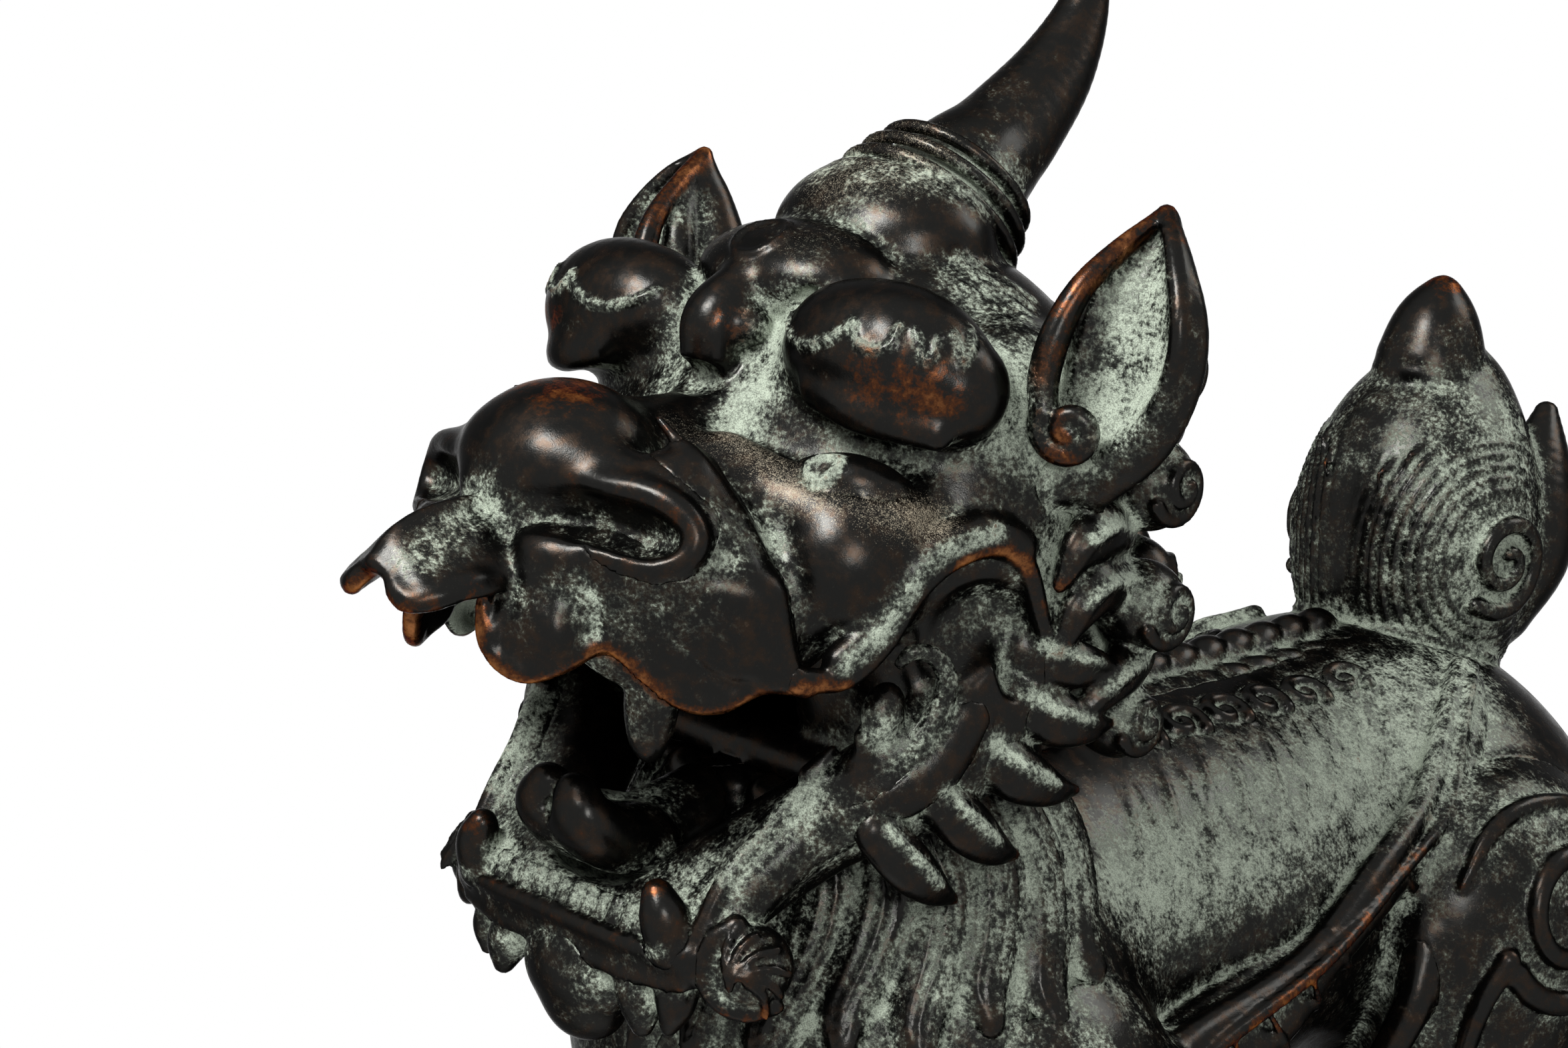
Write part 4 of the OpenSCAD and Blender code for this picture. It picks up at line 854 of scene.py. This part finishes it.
def trunk_rooms(c):
    # rooms that stay free: the hollow trunk, the neck ring and the hinge
    x, y, z = c.grid()
    hollow = np.full(c.size, 1e3, np.float32)
    for cy, cz, rx, ry, rz in ((-34, 73, 43, 37, 35.5), (24, 79, 35.5, 62, 29.5), (82, 73, 46, 37, 35.5)):
        d = np.sqrt((x / rx) ** 2 + ((y - cy) / ry) ** 2 + ((z - cz) / rz) ** 2) * rz - rz
        hollow = smooth_min(hollow, d.astype(np.float32), 4)
    c.cut_away(hollow)
    about = np.sqrt(x * x + (y - NECK_Y) ** 2)
    c.cut_away(np.maximum(about - 28.05, 97 - z))
    c.cut_away(np.maximum(np.sqrt((y + 3.348) ** 2 + (z - 122.8) ** 2) - 5.6, x - 13.5))
    c.cut_away(np.maximum(np.maximum(x - 12.85, 107.95 - z), np.maximum(y + 3.3, NECK_Y - y)))
    c.keep(-z + 0 * x + 0 * y)


def body_patina(c):
    """Green on the flanks, the hair and the tail; copper on the rim of the wing and on the claws."""
    c.brush("green", [(38, -8, 98), (38, 20, 102), (34, 50, 106), (26, 76, 112)], 11.0, 6.0, 0.8)
    c.brush("green", [(20, 88, 124), (22, 92, 136), (16, 96, 150)], 12.0, 6.0, 0.55)
    c.brush("green", [(46, 58, 92), (50, 72, 92), (48, 86, 84)], 9.0, 3.0, 0.45)
    for line, soft, r, amount in (
        ([(0, 112, 106), (20, 112, 96), (40, 106, 82)], 12.0, 4.0, 0.5), ([(10, 124, 80), (30, 118, 62)], 12.0, 3.0, 0.35),
        ([(0, -78, 78), (26, -72, 72), (46, -50, 60)], 8.0, 2.0, 0.45), ([(54, -30, 50), (52, -28, 30)], 8.0, 2.0, 0.4),
        ([(56, 84, 58), (54, 92, 36)], 8.0, 2.0, 0.45), ([(0, 110, 112), (12, 104, 110), (18, 94, 110)], 4.0, 1.0, 0.8),
        ([(44, 40, 66), (45, 20, 62), (46, 0, 58)], 7.0, 2.0, 0.4), ([(0, 20, 44), (0, 60, 42)], 12.0, 4.0, 0.4),
    ):
        c.brush("green", line, soft, r, amount)
    for y in (-37.85, 90.15):
        for i in (-1, 0, 1):
            c.brush("green", [(40 + i * 8.2, y - 10, 13), (40 + i * 8.6, y - 21, 8)], 2.2, 0.6, 0.75)
        c.brush("green", [(40, y + 14, 14), (40, y - 2, 19)], 6.0, 2.0, 0.45)
    for i in range(8):
        a = math.radians(270 + 108 * (i + 0.25) / 7.6)
        c.brush("green", [(1.12 * r * math.cos(a), NECK_Y + r * math.sin(a), z) for r, z in ((33, 112), (40, 96), (46, 84))],
                4.0, 1.0, 0.5)
    c.brush("rub", [(x + 0.5, y + 1.8, z - 2.2) for x, y, z in WING_RIM], 1.3, 0.6, 0.55)
    c.brush("rub", [(x + 0.5, y + 1.8, z - 2.2) for x, y, z in WING_RIM[4:]], 1.5, 0.6, 0.85)
    c.brush("rub", [(0, 104, 170), (2, 105.4, 175)], 4.0, 1.0, 0.6)
    for y in (-37.85, 90.15):
        for i in (-1.5, -0.5, 0.5, 1.5):
            c.brush("rub", [(40 + i * 8.6, y - 25, 8), (40 + i * 8.6, y - 29, 3)], 2.5, 1.0, 0.6)


# Finish: bronze that is dark where it is smooth, green where it is sheltered, pale green on some lit upper faces as a
# painted highlight, and bright where it is rubbed


class Nodes:
    """Short hands for building one material."""

    def __init__(self, name):
        self.mat = bpy.data.materials.new(name)
        self.mat.use_nodes = True
        self.tree = self.mat.node_tree
        self.shader = self.tree.nodes["Principled BSDF"]
        self.place = self.tree.nodes.new("ShaderNodeTexCoord").outputs["Object"]

    def put(self, socket, value):
        if isinstance(value, bpy.types.NodeSocket):
            self.tree.links.new(value, socket)
        else:
            socket.default_value = value

    def mark(self, name):
        n = self.tree.nodes.new("ShaderNodeAttribute")
        n.attribute_name = name
        return n.outputs["Fac"]

    def math(self, how, a, b=0.0, c=0.0, clamp=False):
        n = self.tree.nodes.new("ShaderNodeMath")
        n.operation = how
        n.use_clamp = clamp
        for socket, value in zip(n.inputs, (a, b, c)):
            self.put(socket, value)
        return n.outputs[0]

    def noise(self, scale, detail=4.0, rough=0.6, warp=0.0):
        n = self.tree.nodes.new("ShaderNodeTexNoise")
        n.inputs["Scale"].default_value = scale
        n.inputs["Detail"].default_value = detail
        n.inputs["Roughness"].default_value = rough
        n.inputs["Distortion"].default_value = warp
        self.put(n.inputs["Vector"], self.place)
        return n.outputs["Fac"]

    def ramp(self, value, low, high, to_low=0.0, to_high=1.0):
        n = self.tree.nodes.new("ShaderNodeMapRange")
        n.interpolation_type = "SMOOTHSTEP"
        for key, v in (("Value", value), ("From Min", low), ("From Max", high), ("To Min", to_low), ("To Max", to_high)):
            self.put(n.inputs[key], v)
        return n.outputs["Result"]

    def mix(self, share, a, b):
        n = self.tree.nodes.new("ShaderNodeMix")
        n.data_type = "RGBA"
        self.put(n.inputs[0], share)
        for socket, value in ((n.inputs[6], a), (n.inputs[7], b)):
            self.put(socket, (*value, 1) if isinstance(value, tuple) and len(value) == 3 else value)
        return n.outputs[2]

    def blend(self, share, a, b):
        n = self.tree.nodes.new("ShaderNodeMix")
        self.put(n.inputs[0], share)
        self.put(n.inputs[2], a)
        self.put(n.inputs[3], b)
        return n.outputs[0]

    def bump(self, height, distance, strength=1.0, under=None):
        n = self.tree.nodes.new("ShaderNodeBump")
        n.inputs["Strength"].default_value = strength
        n.inputs["Distance"].default_value = distance
        self.put(n.inputs["Height"], height)
        if under is not None:
            self.put(n.inputs["Normal"], under)
        return n.outputs["Normal"]


def bronze(name, green=0.0, rubbed=0.0):
    if name in bpy.data.materials:
        return bpy.data.materials[name]
    look = bpy.context.scene.lion_finish
    n = Nodes(name)
    worn, form, deep = n.mark("worn"), n.mark("form"), n.mark("deep")
    rub, tint, dusty = n.mark("rub"), n.mark("green"), n.mark("dust")
    broad, cloud, grain, speck = n.noise(70, 3), n.noise(330, 5, 0.65), n.noise(1500, 4, 0.7), n.noise(5200, 2)
    # dark bronze with browner clouds
    dark = n.mix(n.ramp(cloud, 0.42, 0.7), tuple(look.bronze), tuple(look.brown))
    dark = n.mix(n.ramp(speck, 0.62, 0.8, 0, 0.3), dark, (0.08, 0.078, 0.066))
    # verdigris: a thin film over open faces, a thicker crust in the hollows, and the same pale green as a painted
    # highlight on lit upper faces where the green mark is laid
    hollow = n.math("MULTIPLY_ADD", form, -0.8, n.math("MULTIPLY_ADD", worn, -0.5, n.math("MULTIPLY", deep, -0.3)))
    # in the deepest hollows the green is held back, so they stay dark bronze
    hollow = n.math("MAXIMUM", n.math("MULTIPLY", n.math("ADD", hollow, green), n.ramp(deep, -1.1, -0.4, 0.3, 1.0)), -0.9)
    # where the green mark is laid the level rises whatever the form: verdigris, and on the lit upper faces of the smile
    # and the tufts a painted highlight
    hollow = n.math("ADD", n.blend(tint, hollow, 0.82), -1.8)
    patch = n.math("MULTIPLY_ADD", cloud, 1.3, n.math("MULTIPLY_ADD", grain, 1.6, n.math("MULTIPLY", broad, 0.7)))
    hollow = n.math("ADD", hollow, patch)
    film_and_highlight = n.ramp(hollow, 0.12, 0.8)
    crust_and_highlight = n.ramp(hollow, 0.40, 0.88)
    pale = n.mix(n.ramp(speck, 0.4, 0.68), tuple(look.verdigris), tuple(c * 0.45 for c in look.verdigris))
    colour = n.mix(n.math("MULTIPLY", film_and_highlight, 0.75), dark, tuple(c * 0.26 for c in look.verdigris))
    colour = n.mix(n.math("MULTIPLY", crust_and_highlight, 0.9), colour, pale)
    # grains of dust that have settled
    dust = n.math("MULTIPLY_ADD", speck, 1.6, n.math("MULTIPLY_ADD", grain, 0.8, n.math("MULTIPLY_ADD", dusty, 1.1, -1.75)))
    dust = n.ramp(dust, 0.0, 0.75)
    colour = n.mix(n.math("MULTIPLY", dust, 0.8), colour, tuple(look.dust))
    # red brown, then copper, where hands rub the edges
    bare = n.math("MULTIPLY_ADD", worn, 0.55, n.math("MULTIPLY_ADD", rub, 1.0, rubbed))
    bare = n.math("ADD", bare, n.math("MULTIPLY_ADD", cloud, 1.5, n.math("MULTIPLY_ADD", grain, 1.0, -1.3)))
    colour = n.mix(n.ramp(bare, 0.25, 0.6, 0.0, 0.85), colour, tuple(c * r for c, r in zip(look.copper, (0.2, 0.17, 0.2))))
    bright = n.ramp(bare, 0.5, 1.0)
    metal = n.mix(n.ramp(grain, 0.35, 0.72), tuple(look.copper), tuple(c * 0.45 for c in look.copper))
    colour = n.mix(n.math("MULTIPLY", bright, 0.9), colour, metal)
    n.put(n.shader.inputs["Base Color"], colour)
    matt = n.math("MULTIPLY", n.math("MAXIMUM", n.math("MAXIMUM", crust_and_highlight, dust), n.math("MULTIPLY", film_and_highlight, 0.5)),
                  n.ramp(bare, 0.25, 0.7, 1.0, 0.1))
    rough = n.blend(matt, n.ramp(cloud, 0.3, 0.75, 0.18, 0.34), 0.8)
    n.put(n.shader.inputs["Roughness"], n.blend(bright, rough, 0.3))
    n.put(n.shader.inputs["Metallic"], n.ramp(matt, 0.0, 0.8, 0.92, 0.0))
    n.shader.inputs["Specular Tint"].default_value = (0.3, 0.3, 0.3, 1)
    n.shader.inputs["Specular IOR Level"].default_value = 0.22
    pits = n.math("MULTIPLY_ADD", grain, 0.6, n.math("MULTIPLY", speck, 0.4))
    height = n.math("MULTIPLY_ADD", crust_and_highlight, n.math("MULTIPLY_ADD", grain, 0.8, 0.2), n.math("MULTIPLY", pits, 0.4))
    n.put(n.shader.inputs["Normal"], n.bump(height, 0.0002, 0.5))
    return n.mat


SLOTS = {
    "bronze_dark": ("bronze, dark", 0.0, 0.0),
    "bronze_green": ("bronze, green", 0.16, -0.05),
    "bronze_worn": ("bronze, worn", -0.02, 0.02),
}
CASTINGS = {}
HEAD_AT = np.array([0.0, -52.848, 154.0])
MOST_TRIANGLES = 190000


def casting(name):
    """The clay of the head or of the body, made once."""
    if name not in CASTINGS:
        step = bpy.context.scene.lion_sizes.grain * 1.0
        CASTINGS[name] = (sculpt_head if name == "head" else sculpt_body)(step)
    return CASTINGS[name]


def mesh_of(name, points, quads):
    me = bpy.data.meshes.new(name)
    me.vertices.add(len(points))
    me.vertices.foreach_set("co", (points / 1000).astype(np.float32).ravel())
    me.loops.add(quads.size)
    me.loops.foreach_set("vertex_index", quads.ravel().astype(np.int32))
    me.polygons.add(len(quads))
    me.polygons.foreach_set("loop_start", np.arange(0, quads.size, quads.shape[1], dtype=np.int32))
    me.update()
    me.validate()
    return me


def cast(source, form, node, slot, mirrored=False, half=False):
    """Skins one piece of a casting, finishes it and sets it on its body in place of its CAD node."""
    clay = casting(source)
    points, quads = clay.skin(form, half)
    if mirrored:
        points = points * np.array([-1.0, 1, 1])
        quads = quads[:, ::-1]
    move = HEAD_AT if source == "head" else np.zeros(3)
    me = mesh_of(node + "_cast", points + move, quads)
    piece = bpy.data.objects.new(node + "_cast", me)
    bpy.context.collection.objects.link(piece)
    if 2 * len(quads) > MOST_TRIANGLES:
        thin = piece.modifiers.new("thin", "DECIMATE")
        thin.ratio = MOST_TRIANGLES / (2 * len(quads))
        bpy.context.view_layer.update()
        done = bpy.data.meshes.new_from_object(piece.evaluated_get(bpy.context.evaluated_depsgraph_get()))
        piece.modifiers.clear()
        piece.data = done
        bpy.data.meshes.remove(me)
        me = done
        me.name = node + "_cast"
    me.polygons.foreach_set("use_smooth", np.ones(len(me.polygons), bool))
    co = np.empty(3 * len(me.vertices), np.float32)
    me.vertices.foreach_get("co", co)
    for mark, values in clay.marks(co.reshape(-1, 3) * 1000.0 - move).items():
        me.attributes.new(mark, "FLOAT", "POINT").data.foreach_set("value", values.astype(np.float32))
    me.materials.append(bronze(*SLOTS[slot]))
    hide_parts(node)
    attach(piece, "head" if source == "head" else "body")
    return piece


def pair(source, form, name, slot):
    """The left and right copies of a piece."""
    cast(source, form, "left_" + name if "%s" not in name else name % "left", slot, half=True)
    cast(source, form, "right_" + name if "%s" not in name else name % "right", slot, mirrored=True, half=True)


class LionSizes(bpy.types.PropertyGroup):
    grain: bpy.props.FloatProperty(
        name="Grain", description="Fineness of the sculpted forms, in millimetres", default=0.6, min=0.3, max=2.0
    )
    lens: bpy.props.FloatProperty(
        name="Lens", description="Focal length of the camera", default=72.0, unit="CAMERA"
    )
    distance: bpy.props.FloatProperty(
        name="Distance", description="From the camera to the middle of the head", default=0.470, unit="LENGTH"
    )
    turn: bpy.props.FloatProperty(
        name="Turn", description="How far the camera stands to the animal's left", default=math.radians(48.87),
        subtype="ANGLE",
    )
    height: bpy.props.FloatProperty(
        name="Height", description="How far the camera looks down", default=math.radians(12.91), subtype="ANGLE"
    )


def colour(name, description, default):
    return bpy.props.FloatVectorProperty(
        name=name, description=description, default=default, subtype="COLOR", size=3, min=0, max=1
    )


class LionFinish(bpy.types.PropertyGroup):
    bronze: colour("Bronze", "Dark bronze of the smooth faces", (0.014, 0.0138, 0.013))
    brown: colour("Brown", "Browner clouds in the bronze", (0.024, 0.0165, 0.012))
    # this pale green is also the painted highlight on the lit upper faces of the smile and the tufts
    verdigris: colour("Verdigris", "Pale green crust in the hollows", (0.34, 0.385, 0.31))
    copper: colour("Copper", "Bare metal on rubbed edges", (0.30, 0.12, 0.042))
    dust: colour("Dust", "Tan dust on the faces that look up", (0.30, 0.26, 0.19))


class LionStage(bpy.types.PropertyGroup):
    key: bpy.props.FloatProperty(name="Key", description="Key light", default=9.0, unit="POWER")
    front: bpy.props.FloatProperty(name="Front", description="Light by the camera", default=2.0, unit="POWER")
    side: bpy.props.FloatProperty(name="Side", description="Side light", default=3.0, unit="POWER")
    sky: bpy.props.FloatProperty(name="Sky", description="Soft light from all round", default=0.2)
    floor: colour("Floor", "Floor", (0.8, 0.8, 0.8))


class LION_OT_face(bpy.types.Operator):
    """Casts the head with its brows, eyes and nose, and the ruffled upper lip"""

    bl_idname = "lion.face"
    bl_label = "Face and lip"

    def execute(self, context):
        cast("head", "head_shell", "head_shell", "bronze_dark")
        cast("head", "lip_frill", "lip_frill", "bronze_worn")
        return {"FINISHED"}


class LION_OT_jaw(bpy.types.Operator):
    """Casts the lower jaw, the tongue, the teeth and the beard"""

    bl_idname = "lion.jaw"
    bl_label = "Jaw, tongue and teeth"

    def execute(self, context):
        cast("head", "lower_jaw", "lower_jaw", "bronze_dark")
        cast("head", "tongue", "tongue", "bronze_dark")
        cast("head", "upper_fangs", "upper_fangs", "bronze_worn")
        cast("head", "lower_teeth", "lower_teeth", "bronze_worn")
        cast("head", "beard", "beard", "bronze_green")
        return {"FINISHED"}


class LION_OT_horn(bpy.types.Operator):
    """Casts the horn with its stepped foot, and the two ears"""

    bl_idname = "lion.horn"
    bl_label = "Horn and ears"

    def execute(self, context):
        cast("head", "horn", "horn", "bronze_dark")
        pair("head", "ear", "ear", "bronze_dark")
        return {"FINISHED"}


class LION_OT_mane(bpy.types.Operator):
    """Casts the flame tufts and curls of the mane"""

    bl_idname = "lion.mane"
    bl_label = "Mane"

    def execute(self, context):
        pair("head", "mane", "mane", "bronze_dark")
        cast("head", "nape_mane", "nape_mane", "bronze_dark")
        return {"FINISHED"}


class LION_OT_trunk(bpy.types.Operator):
    """Casts the hollow trunk, the curls along its spine and the long hair of the neck"""

    bl_idname = "lion.trunk"
    bl_label = "Trunk and neck hair"

    def execute(self, context):
        cast("body", "torso_shell", "torso_shell", "bronze_dark")
        cast("body", "spine_crest", "spine_crest", "bronze_green")
        cast("body", "hair_ruff", "hair_ruff", "bronze_green")
        return {"FINISHED"}


class LION_OT_limbs(bpy.types.Operator):
    """Casts the wings, the four legs and the tail"""

    bl_idname = "lion.limbs"
    bl_label = "Wings, legs and tail"

    def execute(self, context):
        pair("body", "wing", "wing", "bronze_dark")
        pair("body", "front_leg", "front_%s_leg", "bronze_dark")
        pair("body", "rear_leg", "rear_%s_leg", "bronze_dark")
        cast("body", "tail", "tail", "bronze_dark")
        return {"FINISHED"}


class LION_OT_hinge(bpy.types.Operator):
    """Finishes the turned neck ring and the hinge behind it"""

    bl_idname = "lion.hinge"
    bl_label = "Neck ring and hinge"

    def execute(self, context):
        for node, slot in (("neck_ring", "bronze_dark"), ("hinge_leaf_body", "bronze_dark"),
                           ("hinge_leaf_head", "bronze_dark"), ("hinge_pin", "bronze_worn")):
            piece = frame["nodes"][node]
            for s in piece.material_slots:
                s.material = bronze(*SLOTS[slot])
        return {"FINISHED"}


class LION_OT_stage(bpy.types.Operator):
    """Sets the floor, the lights, the white background and the camera"""

    bl_idname = "lion.stage"
    bl_label = "Stage"

    def execute(self, context):
        sizes, stage = context.scene.lion_sizes, context.scene.lion_stage
        me = bpy.data.meshes.new("floor")
        me.from_pydata([(-4, -4, 0), (4, -4, 0), (4, 4, 0), (-4, 4, 0)], [], [(0, 1, 2, 3)])
        floor = bpy.data.objects.new("floor", me)
        context.collection.objects.link(floor)
        floor.location.z = -0.0002
        me.materials.append(floor_finish(tuple(stage.floor)))
        white_world(stage.sky)
        aim = Vector(HEAD_AT / 1000)
        right = Vector((math.cos(sizes.turn), math.sin(sizes.turn), 0))
        ahead = Vector((-right.y * math.cos(sizes.height), right.x * math.cos(sizes.height), -math.sin(sizes.height)))
        up = right.cross(ahead)
        turn = Matrix((right, up, -ahead)).transposed()
        camera = bpy.data.cameras.new("camera")
        camera.sensor_width = 36.0
        camera.lens = sizes.lens
        camera.clip_start = 0.01
        view = bpy.data.objects.new("camera", camera)
        context.collection.objects.link(view)
        view.matrix_world = Matrix.Translation(aim - ahead * sizes.distance) @ turn.to_4x4()
        context.scene.camera = view
        for name, place, power, size in (("key", (-0.30, 0.46, 0.40), stage.key, 0.22),
                                         ("front", (0.08, 0.12, 0.66), stage.front, 0.14),
                                         ("side", (0.55, 0.42, -0.10), stage.side, 0.30)):
            lamp = bpy.data.lights.new(name, "AREA")
            lamp.energy = power
            lamp.size = size
            light = bpy.data.objects.new(name, lamp)
            context.collection.objects.link(light)
            light.location = aim + turn @ Vector(place)
            light.rotation_euler = (aim - light.location).to_track_quat("-Z", "Y").to_euler()
        context.scene.view_settings.view_transform = "Standard"
        return {"FINISHED"}


def seen_white(tree, lit, share=None):
    """A white glow for the camera and for reflections, and the lit shader for everything else."""
    path = tree.nodes.new("ShaderNodeLightPath")
    glow = tree.nodes.new("ShaderNodeEmission" if lit.type != "BACKGROUND" else "ShaderNodeBackground")
    glow.inputs["Color"].default_value = (1, 1, 1, 1)
    glow.inputs["Strength"].default_value = 1.0
    seen = path.outputs["Is Camera Ray"]
    for key in ("Is Glossy Ray", "Is Transmission Ray"):
        m = tree.nodes.new("ShaderNodeMath")
        m.operation = "MAXIMUM"
        tree.links.new(seen, m.inputs[0])
        tree.links.new(path.outputs[key], m.inputs[1])
        seen = m.outputs[0]
    if share is not None:
        m = tree.nodes.new("ShaderNodeMath")
        m.operation = "MULTIPLY"
        tree.links.new(seen, m.inputs[0])
        tree.links.new(share, m.inputs[1])
        seen = m.outputs[0]
    mix = tree.nodes.new("ShaderNodeMixShader")
    tree.links.new(seen, mix.inputs[0])
    tree.links.new(lit.outputs[0], mix.inputs[1])
    tree.links.new(glow.outputs[0], mix.inputs[2])
    return mix.outputs[0]


def white_world(strength):
    world = bpy.data.worlds.new("white")
    bpy.context.scene.world = world
    world.use_nodes = True
    tree = world.node_tree
    sky = tree.nodes["Background"]
    sky.inputs["Color"].default_value = (1, 1, 1, 1)
    sky.inputs["Strength"].default_value = strength
    tree.links.new(seen_white(tree, sky), tree.nodes["World Output"].inputs["Surface"])


def floor_finish(colour):
    """A pale floor that takes the shadow under the animal and turns to plain white away from it."""
    n = Nodes("floor")
    n.shader.inputs["Base Color"].default_value = (*colour, 1)
    n.put(n.shader.inputs["Roughness"], n.ramp(n.noise(60), 0.3, 0.7, 0.7, 0.9))
    split = n.tree.nodes.new("ShaderNodeSeparateXYZ")
    n.put(split.inputs[0], n.place)
    gap = [n.math("MAXIMUM", n.math("SUBTRACT", n.math("ABSOLUTE", split.outputs[i]), half), 0.0)
           for i, half in enumerate((0.05, 0.12))]
    far = n.math("SQRT", n.math("MULTIPLY_ADD", gap[0], gap[0], n.math("MULTIPLY", gap[1], gap[1])))
    out = n.tree.nodes["Material Output"]
    n.tree.links.new(seen_white(n.tree, n.shader, n.ramp(far, 0.0, 0.06)), out.inputs["Surface"])
    return n.mat


class LION_PT_panel(bpy.types.Panel):
    bl_idname = "LION_PT_panel"
    bl_label = "Guardian lion"
    bl_space_type = "VIEW_3D"
    bl_region_type = "UI"
    bl_category = "Guardian lion"

    def draw(self, context):
        for operator in OPERATORS:
            self.layout.operator(operator.bl_idname)
        for group in (context.scene.lion_sizes, context.scene.lion_finish, context.scene.lion_stage):
            box = self.layout.box()
            for key in group.__annotations__:
                box.prop(group, key)


OPERATORS = (LION_OT_face, LION_OT_jaw, LION_OT_horn, LION_OT_mane, LION_OT_trunk, LION_OT_limbs, LION_OT_hinge,
             LION_OT_stage)
CLASSES = (LionSizes, LionFinish, LionStage, *OPERATORS, LION_PT_panel)


def register():
    for c in CLASSES:
        bpy.utils.register_class(c)
    bpy.types.Scene.lion_sizes = bpy.props.PointerProperty(type=LionSizes)
    bpy.types.Scene.lion_finish = bpy.props.PointerProperty(type=LionFinish)
    bpy.types.Scene.lion_stage = bpy.props.PointerProperty(type=LionStage)


def unregister():
    del bpy.types.Scene.lion_stage
    del bpy.types.Scene.lion_finish
    del bpy.types.Scene.lion_sizes
    for c in reversed(CLASSES):
        bpy.utils.unregister_class(c)


def main():
    register()
    bpy.ops.lion.face()
    bpy.ops.lion.jaw()
    bpy.ops.lion.horn()
    bpy.ops.lion.mane()
    bpy.ops.lion.trunk()
    bpy.ops.lion.limbs()
    bpy.ops.lion.hinge()
    bpy.ops.lion.stage()


if __name__ == "__main__":
    main()
